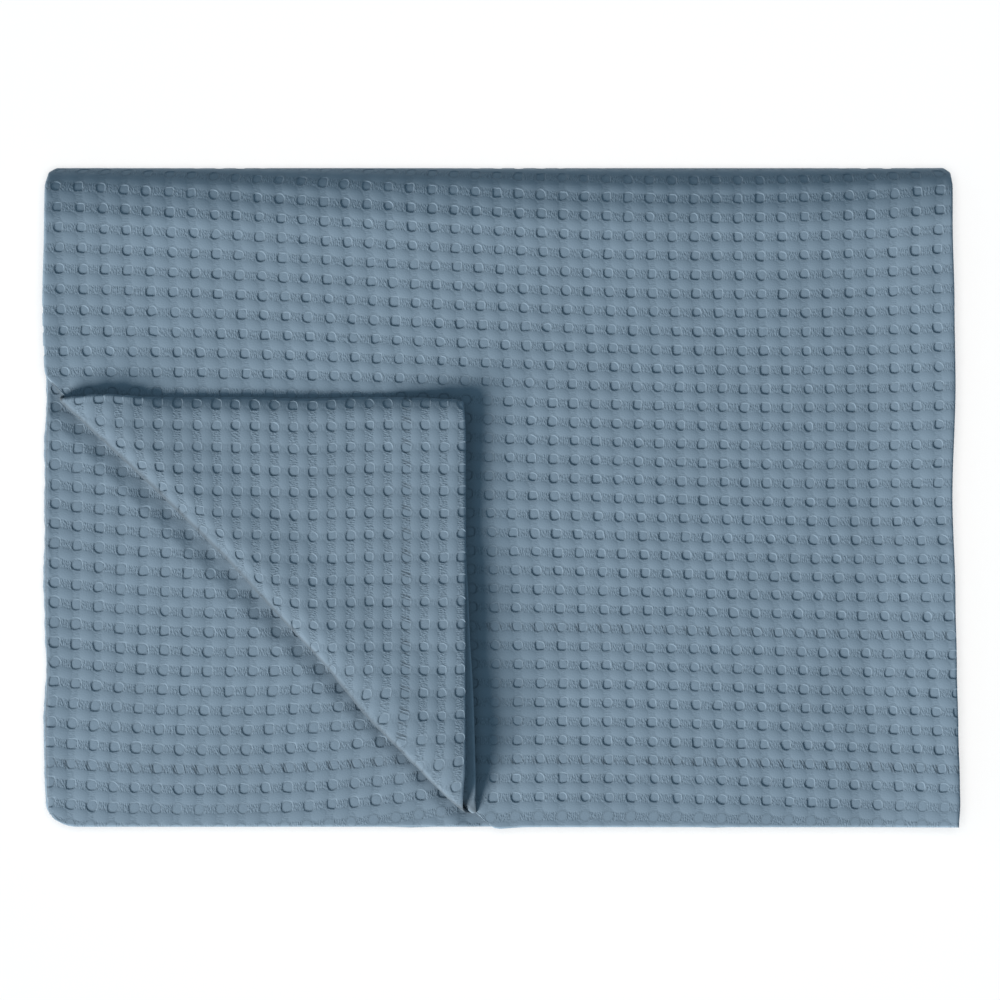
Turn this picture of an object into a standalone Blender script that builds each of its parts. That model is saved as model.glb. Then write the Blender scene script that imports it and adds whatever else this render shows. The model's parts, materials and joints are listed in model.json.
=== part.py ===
"""Waffle weave cotton blanket, folded flat, with its lower left corner turned back.

The blanket is one hemmed sheet.  It is laid back and forth into four plies, then that
four ply section is folded in half twice, so sixteen plies lie on each other.  The
corner of the two top plies is turned back over the stack along a slanting crease.

Metres, +Z up.  X runs along the top fold and Y from the hems towards that fold.  The
origin is on the surface under the middle of the stack.
"""

import bpy
import bmesh
from math import cos, pi, radians, sin

# ---------------------------------------------------------------- driving sizes

HALF_WIDTH = 0.2240        # from the middle to the left fold and to the right edge
HALF_DEPTH = 0.1624        # from the middle to the hems and to the top fold
THICK = 0.00115            # the cloth, pressed
PITCH = 0.00150            # from one ply to the next
PLIES = 4                  # plies in the back-and-forth section

TURN_PIECES = 4            # flats round a tight fold between two plies
SMALL_FOLD_PIECES = 4      # flats round a fold of the four ply section
GREAT_FOLD_PIECES = 8      # flats round the top fold, which wraps everything
PASS_INSET = 0.0030        # how far the folds and hems inside the stack stand back

# The corner turned back.  The crease slants at 45 degrees: on its outer edge x + y is
# CREASE_SUM, and the hem of the outer ply comes to lie along x = FLAP_HEM_X.
CREASE_SUM = -0.1705
FLAP_HEM_X = -0.0175
ROLL_RADIUS = 0.0009       # of the inner ply
FLAP_RISE = 12.0           # degrees at which the flap still climbs past the roll
FLAP_FALL = 3.0            # degrees at which it comes down again
CREST_RADIUS = 0.0520      # of the long bend between the two
SETTLE_RADIUS = 0.0800     # of the bend in which the flap comes down flat
FLAP_HEIGHT = 0.0017       # from the top ply to the same ply turned back
DRAWN_BAND = 0.0120        # of the top plies under the flap, where they are drawn in
BAND_PIECES = 3
ROLL_PIECES = 7
CREST_PIECES = 4
SETTLE_PIECES = 1

# Stations across each ply and along each pass, shared by all of them, so that every
# ply bends where its neighbours do.
ACROSS = (-0.205, -0.150, -0.092, -0.035, 0.012, 0.075, 0.140, 0.205)
ALONG = (-0.150, -0.095, -0.040, 0.015, 0.072, 0.125)

# The section, from the side hem at the right: which way each ply runs, and how far the
# fold or edge at its end stands back from the outline.
SECTION = (
    # ply, heading, stand_back
    ("top", -1, -0.0010),
    ("second", 1, 0.0012),
    ("third", -1, 0.0006),
    ("fourth", 1, 0.0020),
)

# How far the left and right outlines sway from a straight line, up the depth.
OUTLINE = (
    # y, left, right
    (-0.1620, 0.0006, 0.0010),
    (-0.1510, 0.0008, 0.0016),
    (-0.1400, 0.0002, 0.0014),
    (-0.1150, -0.0003, 0.0010),
    (-0.0850, 0.0006, 0.0004),
    (-0.0500, -0.0002, -0.0003),
    (0.0000, -0.0002, -0.0018),
    (0.0550, 0.0008, -0.0003),
    (0.0950, -0.0001, -0.0008),
    (0.1350, 0.0008, -0.0016),
    (0.1530, 0.0009, -0.0014),
    (0.1590, 0.0022, -0.0026),
    (0.1625, 0.0056, -0.0056),
)

# Soft swells of the top of the stack: height, waves per metre each way, and a start.
SWELLS = (
    # height, wave_x, wave_y, start
    (0.00030, 2.9, 1.2, 0.4),
    (0.00022, -1.7, 3.6, 1.9),
)

# The rounded corner of the plies under the flap, and of the flap itself.
CORNER_REACH = 0.0130
CORNER_PULL_UNDER = (0.0055, 0.0040)
CORNER_PULL_FLAP = (0.0016, 0.0012)

SNAP = 1e-5                # of a station: cuts this near to a corner of the pattern meet it
SHARP_EDGE = 40.0          # degrees: the rim of the cloth stays sharp, its folds are round

CLOTH_COLOUR = (0.168, 0.238, 0.305, 1.0)
CLOTH_ROUGHNESS = 0.95

HALF_SECTION = 0.5 * PITCH * (PLIES - 1)
SECTION_PITCH = PITCH * PLIES
FULL_HEIGHT = 4 * SECTION_PITCH - PITCH + THICK


# ---------------------------------------------------------------- folding paths


def straight(stations, end, upright, turn_out):
    """Add a flat place of the path: its point and the way the cloth's face looks."""
    stations.append((end, upright, 0.0, turn_out))


def half_turn(stations, centre, middle, radius, side, first, pieces):
    """Add the places round a half turn about (centre, middle) that bulges to one side.

    first is +1 where the turn starts above its middle, and -1 below it.
    """
    outward = 1.0 if stations[-1][3] * first > 0 else -1.0
    for step in range(1, pieces):
        angle = pi * step / pieces
        reach = side * sin(angle)
        rise = first * cos(angle)
        stations.append((centre + radius * reach, middle + radius * rise, outward * reach, outward * rise))


def section_stations():
    """Where the sheet runs across the stack: x, height in the section, and its normal."""
    stations = []
    turn = 0.5 * PITCH
    facing = 1.0
    for row, (name, heading, stand_back) in enumerate(SECTION):
        height = HALF_SECTION - PITCH * row
        before = SECTION[row - 1][2] if row else 0.0
        begin = -heading * (HALF_WIDTH - turn - before if row else HALF_WIDTH)
        last = row == len(SECTION) - 1
        end = heading * (HALF_WIDTH - stand_back - (0.0 if last else turn))
        straight(stations, begin, height, facing)
        for place in sorted(ACROSS, reverse=heading < 0):
            straight(stations, place, height, facing)
        straight(stations, end, height, facing)
        if not last:
            half_turn(stations, end, height - turn, turn, heading, 1.0, TURN_PIECES)
            facing = -facing
    return stations


def pass_stations():
    """Where the section runs along the stack: y, z, and the normal of its upper side.

    From the top: the first pass, then the fourth and third, which lie inside the top
    fold, and the second pass at the bottom.
    """
    low = HALF_SECTION + 0.5 * THICK
    top, fourth, third, second = (low + SECTION_PITCH * n for n in (3, 2, 1, 0))
    great = 0.5 * (top - second)
    small = 0.5 * SECTION_PITCH
    outer = HALF_SECTION + 0.5 * THICK
    fold_y = HALF_DEPTH - great - outer
    inner_y = fold_y - 0.0010
    hem_fold_y = -HALF_DEPTH + PASS_INSET + small + outer
    stations = []

    def flat(begin, end, height, facing):
        forward = end > begin
        straight(stations, begin, height, facing)
        for place in sorted(ALONG, reverse=not forward):
            straight(stations, place, height, facing)
        straight(stations, end, height, facing)

    flat(-HALF_DEPTH, fold_y, top, 1.0)
    half_turn(stations, fold_y, second + great, great, 1.0, 1.0, GREAT_FOLD_PIECES)
    flat(fold_y, hem_fold_y, second, -1.0)
    half_turn(stations, hem_fold_y, second + small, small, -1.0, -1.0, SMALL_FOLD_PIECES)
    flat(hem_fold_y, inner_y, third, 1.0)
    half_turn(stations, inner_y, third + small, small, 1.0, -1.0, SMALL_FOLD_PIECES)
    flat(inner_y, -HALF_DEPTH + PASS_INSET, fourth, -1.0)
    return stations


def between(stations, place):
    """The point and normal at a place, counted in stations and parts of a station."""
    first = min(int(place), len(stations) - 2)
    share = place - first
    return [a + (b - a) * share for a, b in zip(stations[first], stations[first + 1])]


# ---------------------------------------------------------------- the crease


class Crease:
    """The roll in which the corner of the two top plies is turned back.

    It is measured across the crease: out from its start towards the corner, and up
    from the top ply.  The outer ply has the longer way round, and its cloth creeps
    back by that much, but only along the fold that joins it to the top ply.
    """

    def __init__(self, height):
        self.height = height
        self.slant = sin(0.25 * pi)
        rise, fall = radians(FLAP_RISE), radians(FLAP_FALL)
        roll = (0.0, pi - rise, ROLL_RADIUS, ROLL_PIECES)
        crest = (0.0, rise + fall, CREST_RADIUS, CREST_PIECES)
        settle_drop = SETTLE_RADIUS * (1 - cos(fall))
        run = (self.walk((roll, crest))[-1][1] - settle_drop - FLAP_HEIGHT) / sin(fall)
        self.places = self.walk((roll, crest, (run, -fall, SETTLE_RADIUS, SETTLE_PIECES)))
        outer = ROLL_RADIUS + PITCH + 0.5 * THICK
        self.start = CREASE_SUM * self.slant + outer
        # Under the flap the cloth is drawn in, until the hem lies where it should.
        taken = 2 * self.start - (FLAP_HEM_X - HALF_DEPTH) / self.slant
        out, _, heading, length = self.places[-1]
        self.drawn = taken - (length + out + PITCH * heading)

    def walk(self, bends):
        """Places round the roll: out, up, heading, and the length of cloth so far."""
        out, up, heading, length = 0.0, 0.0, 0.0, 0.0
        places = [(out, up, heading, length)]
        for run, turn, radius, pieces in bends:
            if run:
                out += run * cos(heading)
                up += run * sin(heading)
                length += run
                places.append((out, up, heading, length))
            for _ in range(pieces):
                bend = turn / pieces
                chord = 2 * radius * sin(abs(bend) / 2)
                out += chord * cos(heading + bend / 2)
                up += chord * sin(heading + bend / 2)
                heading += bend
                length += chord
                places.append((out, up, heading, length))
        return places

    def reach(self, step, height):
        """Length of cloth from the start of the roll to a place, for cloth at a height."""
        _, _, heading, length = self.places[step]
        return self.drawn + length - height * heading * self.slant ** 2

    def distance(self, x, y):
        """How far a flat point lies past the start of the roll, towards the corner."""
        return self.start - (x + y) * self.slant

    def reaches(self, height):
        """Lengths of cloth from the start of the roll at which it bends, the drawn band first."""
        band = self.drawn + DRAWN_BAND
        return ([band * n / BAND_PIECES - DRAWN_BAND for n in range(BAND_PIECES)]
                + [self.reach(step, height) for step in range(len(self.places))])

    def depth_of(self, reach, x):
        """Where the line of one reach crosses a column of the cloth."""
        return (self.start - reach) / self.slant - x

    def seat(self, place, height):
        """Where cloth at a height over the top ply lies at a place of the roll."""
        out, up, heading = place[:3]
        return out - height * sin(heading), up + height * cos(heading)

    def carry(self, point, shift):
        """Carry a point of the two top plies, and a small shift from it, round the roll."""
        x, y, z = point
        distance = self.distance(x, y)
        if distance <= self.drawn:
            inward = self.slant * self.drawn * smooth((distance + DRAWN_BAND) / (self.drawn + DRAWN_BAND))
            return [x + shift[0] + inward, y + shift[1] + inward, z + shift[2]]
        height = z - self.height
        last = len(self.places) - 1
        step = 0
        while step < last and self.reach(step + 1, height) < distance:
            step += 1
        out, up = self.seat(self.places[step], height)
        heading = self.places[step][2]
        begin = self.reach(step, height)
        if step == last:
            out += (distance - begin) * cos(heading)
            up += (distance - begin) * sin(heading)
        else:
            share = (distance - begin) / (self.reach(step + 1, height) - begin)
            next_out, next_up = self.seat(self.places[step + 1], height)
            out += (next_out - out) * share
            up += (next_up - up) * share
            heading += (self.places[step + 1][2] - heading) * share
        creep = height * heading * self.slant ** 2
        out_shift = -(shift[0] + shift[1]) * self.slant
        side = (shift[0] - shift[1]) * self.slant + creep
        out += out_shift * cos(heading) - shift[2] * sin(heading)
        up += out_shift * sin(heading) + shift[2] * cos(heading)
        step_in = (distance - out) * self.slant
        return [x + step_in + side * self.slant, y + step_in - side * self.slant, self.height + up]


# ---------------------------------------------------------------- unevenness


def smooth(share):
    share = min(max(share, 0.0), 1.0)
    return share * share * (3 - 2 * share)


def outline_sway(y):
    """The sway of the left and right outlines at a depth."""
    rows = OUTLINE
    if y <= rows[0][0]:
        return rows[0][1:]
    for low, high in zip(rows, rows[1:]):
        if y <= high[0]:
            share = smooth((y - low[0]) / (high[0] - low[0]))
            return tuple(a + (b - a) * share for a, b in zip(low[1:], high[1:]))
    return rows[-1][1:]


def sway(x, y, flap):
    """How far the cloth lies from a straight stack, in its own plane."""
    left, right = outline_sway(y)
    share = smooth(0.5 + 0.5 * x / HALF_WIDTH)
    across = left + (right - left) * share
    corner_x = max(0.0, 1 - (x + HALF_WIDTH) / CORNER_REACH)
    corner_y = max(0.0, 1 - (y + HALF_DEPTH) / CORNER_REACH)
    pull = CORNER_PULL_FLAP if flap else CORNER_PULL_UNDER
    near = corner_x * corner_y
    return across + pull[0] * near, pull[1] * near


def swell(x, y, z):
    """The soft rise and fall of the stack, which fades out on the surface under it."""
    rise = 0.0
    for height, wave_x, wave_y, start in SWELLS:
        rise += height * (1 + sin(2 * pi * (wave_x * x + wave_y * y) + start))
    return rise * min(z / FULL_HEIGHT, 1.0) ** 2


# ---------------------------------------------------------------- the sheet


def cut_at_crease(sheet, section, first_pass, turned_plies, crease):
    """Cut the flat pattern of the turned plies along the places of the roll.

    The pattern lies with one unit for each station, both ways, so that a straight line
    on the cloth has its own slope between each two stations.
    """
    for column in range(turned_plies):
        sides = section[column], section[column + 1]
        for reaches in zip(*(crease.reaches(side[1] - HALF_SECTION) for side in sides)):
            depths = [crease.depth_of(reach, side[0]) for reach, side in zip(reaches, sides)]
            for row in range(len(first_pass) - 1):
                low, high = first_pass[row][0], first_pass[row + 1][0]
                if max(depths) < low or min(depths) > high:
                    continue
                begin, finish = (row + (depth - low) / (high - low) for depth in depths)
                cell = [face for face in sheet.faces if column < face.calc_center_median().x < column + 1
                        and row < face.calc_center_median().y < row + 1]
                edges = {edge for face in cell for edge in face.edges}
                verts = {vert for face in cell for vert in face.verts}
                bmesh.ops.bisect_plane(sheet, geom=cell + list(edges) + list(verts), dist=SNAP,
                                       plane_co=(column, begin, 0.0), plane_no=(begin - finish, 1.0, 0.0))


def blanket_mesh():
    """The closed mesh of the folded sheet."""
    section = section_stations()
    passes = pass_stations()
    first_pass = passes[:len(ALONG) + 2]
    per_ply = len(ACROSS) + 2
    turned_plies = 2 * per_ply + TURN_PIECES - 2
    top_height = first_pass[0][1] + HALF_SECTION
    crease = Crease(top_height)

    sheet = bmesh.new()
    rows = [[sheet.verts.new((column, row, 0.0)) for column in range(len(section))] for row in range(len(passes))]
    for low, high in zip(rows, rows[1:]):
        for n in range(len(section) - 1):
            sheet.faces.new((low[n], low[n + 1], high[n + 1], high[n]))
    cut_at_crease(sheet, section, first_pass, turned_plies, crease)
    bmesh.ops.triangulate(sheet, faces=sheet.faces[:])

    sheet.verts.ensure_lookup_table()
    sheet.verts.index_update()
    flats = [(vert.co.x, vert.co.y) for vert in sheet.verts]
    triangles = [tuple(vert.index for vert in face.verts) for face in sheet.faces]
    rims = [tuple(vert.index for vert in loop_order(edge)) for edge in sheet.edges if len(edge.link_faces) == 1]
    sheet.free()

    def place(column, row, offset):
        x, height, face_x, face_up = between(section, column)
        y_mid, z_mid, look_y, look_z = between(passes, row)
        turned = column <= turned_plies and row <= len(first_pass) - 1
        shift_x, shift_y = sway(x, y_mid + height * look_y, turned)
        point = (x, y_mid + height * look_y, z_mid + height * look_z)
        shift = (shift_x + offset * face_x, shift_y + offset * face_up * look_y, offset * face_up * look_z)
        if turned:
            x, y, z = crease.carry(point, shift)
        else:
            x, y, z = (a + b for a, b in zip(point, shift))
        return x, y, z + swell(x, y, z)

    face_side = [place(column, row, 0.5 * THICK) for column, row in flats]
    back_side = [place(column, row, -0.5 * THICK) for column, row in flats]
    count = len(flats)
    faces = list(triangles)
    faces += [(c + count, b + count, a + count) for a, b, c in triangles]
    for a, b in rims:
        faces += [(b, a, a + count), (b, a + count, b + count)]
    mesh = bpy.data.meshes.new("blanket")
    mesh.from_pydata(face_side + back_side, [], faces)
    mesh.validate()
    solid = bmesh.new()
    solid.from_mesh(mesh)
    bmesh.ops.recalc_face_normals(solid, faces=solid.faces[:])
    if solid.calc_volume(signed=True) < 0:
        bmesh.ops.reverse_faces(solid, faces=solid.faces[:])
    solid.to_mesh(mesh)
    solid.free()
    return mesh


def loop_order(edge):
    """The ends of an edge of the sheet, in the order in which its one face runs."""
    for loop in edge.link_faces[0].loops:
        if loop.edge == edge:
            return loop.vert, loop.link_loop_next.vert
    return edge.verts


def cotton():
    material = bpy.data.materials.new("cotton")
    material.use_nodes = True
    shader = material.node_tree.nodes["Principled BSDF"]
    shader.inputs["Base Color"].default_value = CLOTH_COLOUR
    shader.inputs["Roughness"].default_value = CLOTH_ROUGHNESS
    shader.inputs["Metallic"].default_value = 0.0
    return material


def clear_scene():
    for item in list(bpy.data.objects):
        bpy.data.objects.remove(item, do_unlink=True)


def main():
    clear_scene()
    mesh = blanket_mesh()
    blanket = bpy.data.objects.new("blanket", mesh)
    bpy.context.scene.collection.objects.link(blanket)
    blanket.data.materials.append(cotton())
    blanket.data.shade_smooth()
    blanket.data.set_sharp_from_angle(angle=radians(SHARP_EDGE))


main()
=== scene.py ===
"""Folded waffle weave cotton blanket: its cloth, its weave and a plain stage.

One cell of the weave is modelled by hand and copied over the flat cloth.  The flat
cloth is trimmed, cut along its fold lines and laid on the folds of the solid.

Metres, +Z up.  X runs along the top fold and Y from the hems towards that fold.
"""

import json
from functools import reduce
from math import cos, pi, radians, sin

import bmesh
import bpy
import numpy as np
from bpy.props import FloatProperty, FloatVectorProperty, PointerProperty
from bpy.types import Operator, Panel, PropertyGroup
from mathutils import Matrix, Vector
from mathutils.geometry import delaunay_2d_cdt

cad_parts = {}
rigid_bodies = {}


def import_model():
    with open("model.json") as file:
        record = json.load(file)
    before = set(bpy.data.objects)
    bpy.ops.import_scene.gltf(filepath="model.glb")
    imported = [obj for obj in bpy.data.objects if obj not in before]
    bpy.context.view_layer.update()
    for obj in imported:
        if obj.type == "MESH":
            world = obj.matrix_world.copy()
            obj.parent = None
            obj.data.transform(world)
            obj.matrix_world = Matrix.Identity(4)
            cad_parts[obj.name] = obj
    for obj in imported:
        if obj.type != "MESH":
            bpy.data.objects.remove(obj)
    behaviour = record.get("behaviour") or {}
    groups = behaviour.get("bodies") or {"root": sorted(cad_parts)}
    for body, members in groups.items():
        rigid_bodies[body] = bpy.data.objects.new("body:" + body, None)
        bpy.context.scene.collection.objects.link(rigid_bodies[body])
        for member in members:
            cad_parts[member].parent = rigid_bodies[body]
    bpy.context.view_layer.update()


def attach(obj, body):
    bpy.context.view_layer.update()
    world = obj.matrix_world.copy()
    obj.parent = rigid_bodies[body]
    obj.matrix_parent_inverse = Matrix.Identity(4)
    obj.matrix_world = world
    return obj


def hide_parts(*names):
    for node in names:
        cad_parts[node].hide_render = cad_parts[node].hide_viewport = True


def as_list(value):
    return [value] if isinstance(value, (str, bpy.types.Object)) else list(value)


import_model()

bl_info = {
    "name": "Waffle weave blanket",
    "version": (1, 0, 0),
    "blender": (4, 5, 0),
    "location": "View3D > Sidebar > Blanket",
    "description": "A folded waffle weave cotton blanket with one corner turned back",
    "category": "Add Mesh",
}

BODY = "root"
NODE = "blanket"

# ---------------------------------------------------------------- the folded cloth

HALF_WIDTH = 0.2240        # from the middle to the left fold and to the right edge
HALF_DEPTH = 0.1624        # from the middle to the hems and to the top fold
THICK = 0.00115            # the cloth, pressed
PITCH = 0.00150            # from one ply to the next
PASS_INSET = 0.0030        # how far the folds and hems inside the stack stand back
FOLD_STAND_BACK = 0.0010   # and the fold inside the great fold
TIGHT = 0.5 * PITCH        # radius of the fold between two plies
HALF_SECTION = 1.5 * PITCH
SECTION_PITCH = 4 * PITCH
FULL_HEIGHT = 4 * SECTION_PITCH - PITCH + THICK
GREAT = 1.5 * SECTION_PITCH    # radius of the top fold, at the middle of its four plies
SMALL = 0.5 * SECTION_PITCH    # radius of the folds inside the stack

# The section, from the side hem at the right: which way each ply runs, and how far the
# fold or edge at its end stands back from the outline.
SECTION = (
    # ply, heading, stand_back
    ("top", -1, -0.0010),
    ("second", 1, 0.0012),
    ("third", -1, 0.0006),
    ("fourth", 1, 0.0020),
)

# The corner turned back.
CREASE_SUM = -0.1705       # x + y on the crease's outer edge
FLAP_HEM_X = -0.0175       # the outer ply's hem comes to lie here
ROLL_RADIUS = 0.0009
FLAP_RISE = radians(8.5)   # how steeply the flap climbs from the roll
FLAP_FALL = radians(2.2)   # and how steeply it comes down past its crest
CREST_RADIUS = 0.0750
SETTLE_RADIUS = 0.0800
FLAP_HEIGHT = 0.0017       # over the stack, where the flap has settled
DRAWN_BAND = 0.0030        # of cloth before the roll, over which it is drawn in
DRAWN_CUTS = 4             # across that band
BEND_CUTS = 4              # across a bend, at least
TURNING = (0.30 * pi, 0.70 * pi)       # headings between which the cloth becomes the flap
SLANT = sin(0.25 * pi)
# How much higher than in the solid the flap stands, from its left tip to its lower one:
# x - y, and the rise there.
STAND = (
    (-0.2720, 0.0003), (-0.2550, 0.0022), (-0.2440, 0.0022), (-0.2320, 0.0014),
    (-0.1130, 0.0015), (-0.0930, 0.0031), (-0.0780, 0.0048), (-0.0500, 0.0062),
    (-0.0150, 0.0053), (0.0050, 0.0050), (0.0273, 0.0066), (0.0489, 0.0076),
    (0.0695, 0.0078), (0.0917, 0.0096), (0.1128, 0.0107), (0.1281, 0.0106),
    (0.1385, 0.0012),
)
INNER_SAG = 0.50           # share of it by which the inner hem hangs lower
HEM_REACH = 0.0300         # of the flap's hem

# How far the left and right outlines sway from a straight line, up the depth.
OUTLINE = (
    # y, left, right
    (-0.1620, 0.0006, 0.0010),
    (-0.1510, 0.0008, 0.0016),
    (-0.1400, 0.0002, 0.0014),
    (-0.1150, -0.0003, 0.0007),
    (-0.0850, 0.0006, 0.0000),
    (-0.0500, -0.0002, -0.0007),
    (0.0000, -0.0002, -0.0022),
    (0.0550, 0.0008, -0.0007),
    (0.0950, -0.0001, -0.0012),
    (0.1350, 0.0008, -0.0021),
    (0.1530, 0.0009, -0.0019),
    (0.1590, 0.0022, -0.0026),
    (0.1625, 0.0056, -0.0056),
)

# Soft swells of the top of the stack: height, waves per metre each way, and a start.
SWELLS = (
    # height, wave_x, wave_y, start
    (0.00030, 2.9, 1.2, 0.4),
    (0.00022, -1.7, 3.6, 1.9),
)
# Where the top of the stack stands higher or lower than the solid's: along the hems at
# the right and the folds at the left, and in front of the top fold.
EDGE_RISES = (
    # rise, x where it begins, x where it is full
    (0.0036, 0.1760, 0.2240),
    (0.0006, -0.2120, -0.2240),
)
TOP_DROOP = (0.0034, 0.1350, 0.1590)       # drop, y where it begins, y where it is full
FLAP_EDGE_DROOP = (0.0027, 0.0118)         # of the flap's far edge: drop, reach
HEM_DROOP = (0.0004, 0.0040)               # of its hem
FLAP_EDGE_Y = 0.0489
FLAP_TIP_X = (-0.1850, -0.1600)            # the flap's tip has no such droop
INNER_HEM = (                              # how far the flap's inner hem lies aside
    # y, x
    (-0.1590, 0.0045), (-0.1545, 0.0030), (-0.1450, 0.0020), (-0.1293, 0.0015),
    (-0.1097, 0.0010), (-0.0900, 0.0003), (-0.0703, -0.0011), (-0.0507, -0.0017),
    (-0.0310, -0.0030),
)
# How the flap's far edge bulges near its tip: how far, at which x, and the reach each way.
EDGE_BULGE = (0.0016, -0.1960, 0.0240, 0.0200)
CORNER_ROUND = (0.0150, 0.0115)            # of the plies under the flap, at the lower left
CORNER_ROUND_FLAP = 0.30                   # share of it that the flap's corner has
# How far the crease wanders from a straight line, inwards, along its way.
WANDER = (
    # x, inwards
    (-0.2160, 0.0004),
    (-0.1760, 0.0027),
    (-0.1370, 0.0034),
    (-0.0880, 0.0009),
    (-0.0640, -0.0027),
    (-0.0270, -0.0025),
    (-0.0170, -0.0018),
)
WANDER_REACH = 0.0160
# How the plies under the crease are pressed down beside it.
CREASE_DIP = (0.0019, 0.0085, 0.0040, 0.0200)      # depth, and reach outwards, level, inwards

# ---------------------------------------------------------------- the weave

FINE_CELL = 16             # points round a pit, and round the edge of its cell
PLAIN_CELL = 8
RIM = 0.25                 # radius of the modelled cell's pit, in cells
CELL_EDGE = 0.499          # past it, a point lies on the edge of the modelled cell
JUST_OVER = 1.001          # a ring's radius times this takes in the ring
SQUARENESS = (2.1, 4.6)    # of the roundest and the squarest pit: 2 is a circle
RIM_RISE = 0.20            # of a pit's rim, as a share of the cloth's rise between pits
SIDE_RISE = 0.25           # of a cell's side on average, as such a share

# Across a pit, from its rim inwards: share of the pit's radius, and of its depth.
PIT_RINGS = (
    # radius, depth
    (1.16, 0.00),
    (1.03, 0.06),
    (0.89, 0.97),
)
FLOOR_RISE = 0.10          # share of the depth by which a pit's middle lies higher

# How each pit differs from the next.
PIT_SHIFT = 0.026          # of a cell
PIT_SIZE_SPREAD = 0.085
PIT_DEPTH_SPREAD = 0.22
PIT_LOBES = ((2, 0.070), (3, 0.080), (4, 0.050))

# Where the cells of the weave lie on the flat cloth.  Each is a sum of terms: powers
# of the cell's column and row, counted in twenties from a cell near the middle, and
# millimetres across and along.  A least squares fit to the places of the pits in the
# photo gave these numbers, so another program made them.
DRIFT_STEP = 20.0
TOP_DRIFT = (
    # column, row, across, along
    (0, 0, 101.52, -1.62),
    (1, 0, 210.70, -4.85),
    (0, 1, -9.91, 183.49),
    (2, 0, -1.27, 3.89),
    (1, 1, -1.52, 2.83),
    (0, 2, 0.32, 0.99),
    (3, 0, 2.77, 4.30),
    (2, 1, 6.24, 11.74),
    (1, 2, 13.80, 2.12),
    (0, 3, 4.79, 1.89),
)
THIRD_DRIFT = (
    # column, row, across, along
    (0, 0, -188.60, -93.61),
    (1, 0, 214.53, -14.03),
    (0, 1, 8.34, 195.04),
    (2, 0, 8.17, 27.52),
    (1, 1, 13.51, -9.62),
    (0, 2, -7.33, -4.28),
)
# The turned corner's cells, by their place in the flap as it lies.
FLAP_DRIFT = (
    # column, row, across, along
    (0, 0, -73.80, 2.71),
    (1, 0, 184.65, 2.25),
    (0, 1, -0.53, 215.64),
    (2, 0, -6.67, 7.32),
    (1, 1, 5.85, 1.64),
    (0, 2, -2.87, -8.58),
)
COLUMN_STEP = 0.0105       # between the cells past the photographed part
ROW_STEP = 0.0092
# The cells that the photographed part reaches: columns from and to, rows from and to.
TOP_CELLS = (-29.5, 11.5, -16.5, 16.5)
THIRD_CELLS = (-4.0, 16.0, -7.0, 13.0)
FLAP_CELLS = (-15.5, 6.5, -15.0, 5.0)

# The run of cells that each piece is cut from.
RUNS = {
    # piece: columns, rows, start of the random draws
    "top_cloth": ((-33, 14), (-20, 23), 11),
    "turned_corner": ((-7, 21), (-9, 23), 12),
    "third_ply": ((-6, 22), (-9, 19), 13),
    "underside": ((-33, 14), (18, 66), 14),
}

# ---------------------------------------------------------------- the pieces

FOLD_STRIP = 0.0080        # of the next ply, that a piece takes along past a fold
PAST_GREAT_FOLD = 0.0040   # where the top cloth ends and the underside begins
CORNER_CUT_Y = 0.0530      # below it, the left fold belongs to the turned corner
NEAR_CREASE = 0.0600       # reach of the cuts along the crease, past that corner
TURNED_PIECE = (0.0240, 0.0840)    # how far the turned corner's piece reaches, x and y
THIRD_PIECE = (0.0120, 0.0750)
UNDER_REACH = 0.0500       # of the underside's piece, past the fold at the hems
HEM_ROUND = 0.0010         # of a hem's edge
HEM_CUTS = (1.00, 0.35)    # along a hem, as shares of that
HEM_SQUEEZE = 0.36         # share of the cloth that its rounded edge loses each side
BAND = 0.0086              # of the hem along the front edge, which has no pits
THIRD_BAND = 0.8 * BAND
PIT_FADE = 0.0040          # from that band to pits of the whole depth
STITCH_ROW_Y = -0.1325     # of the row of pits that the hem's stitches run through
CREASED_ROW_Y = -0.0654    # of a row that an old fold has pressed, in the right half
PRESSED = 0.38             # share of their depth that the pits of such rows lose
PRESSED_REACH = 0.0042
SHALLOW_BY_ROLL = 0.2      # share of DRAWN_BAND next to the roll that has no pits
ROLL_PITS = 0.4            # share of their depth that pits on the roll have
ROLL_FLATTENS = (0.60 * pi, 0.98 * pi)     # headings between which they grow deeper
ROLL_SEEN = 0.4            # heading past which the roll can be seen
UNDER_HEM = 0.0080         # how far pits go on under the flap's hem
UNDER_EDGE = 0.0140        # and under its far edge and its crease
UNDERSIDE_PITS = 0.8       # share of the depth that the underside's pits have
BACK_SPACING = 0.0120      # between points of a cloth's plain side
RIM_CLEAR = 0.00015        # between a bend line's end on the plain side and the rim
SNAP = 1e-6                # cuts this near to a corner of the pattern meet it
FOLD_CUTS = 6              # across a tight fold
WIDE_FOLD_CUTS = 12        # across the folds of the four ply section
ROLL_CUT = radians(15.0)

# Painted shade, in the cotton's colour.
# Where the steep cloth catches more light than in the photo, it is this much darker.
THIRD_FOLD_PAINTED_SHADE = 0.50     # the third ply's left fold
TIP_PAINTED_SHADE = 0.75            # the turned top ply at the lower tip
TIP_PAINTED_SHADE_X = (-0.0340, -0.0220)            # where that begins and is full
CREASE_PAINTED_SHADE = 0.56         # the outside of the crease
CREASE_PAINTED_SHADE_TURN = (0.98 * pi, 0.70 * pi)  # headings at which that begins and is full
TURNED_CORNER_DARKENING = 0.045       # how much darker the whole turned corner is painted
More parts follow.
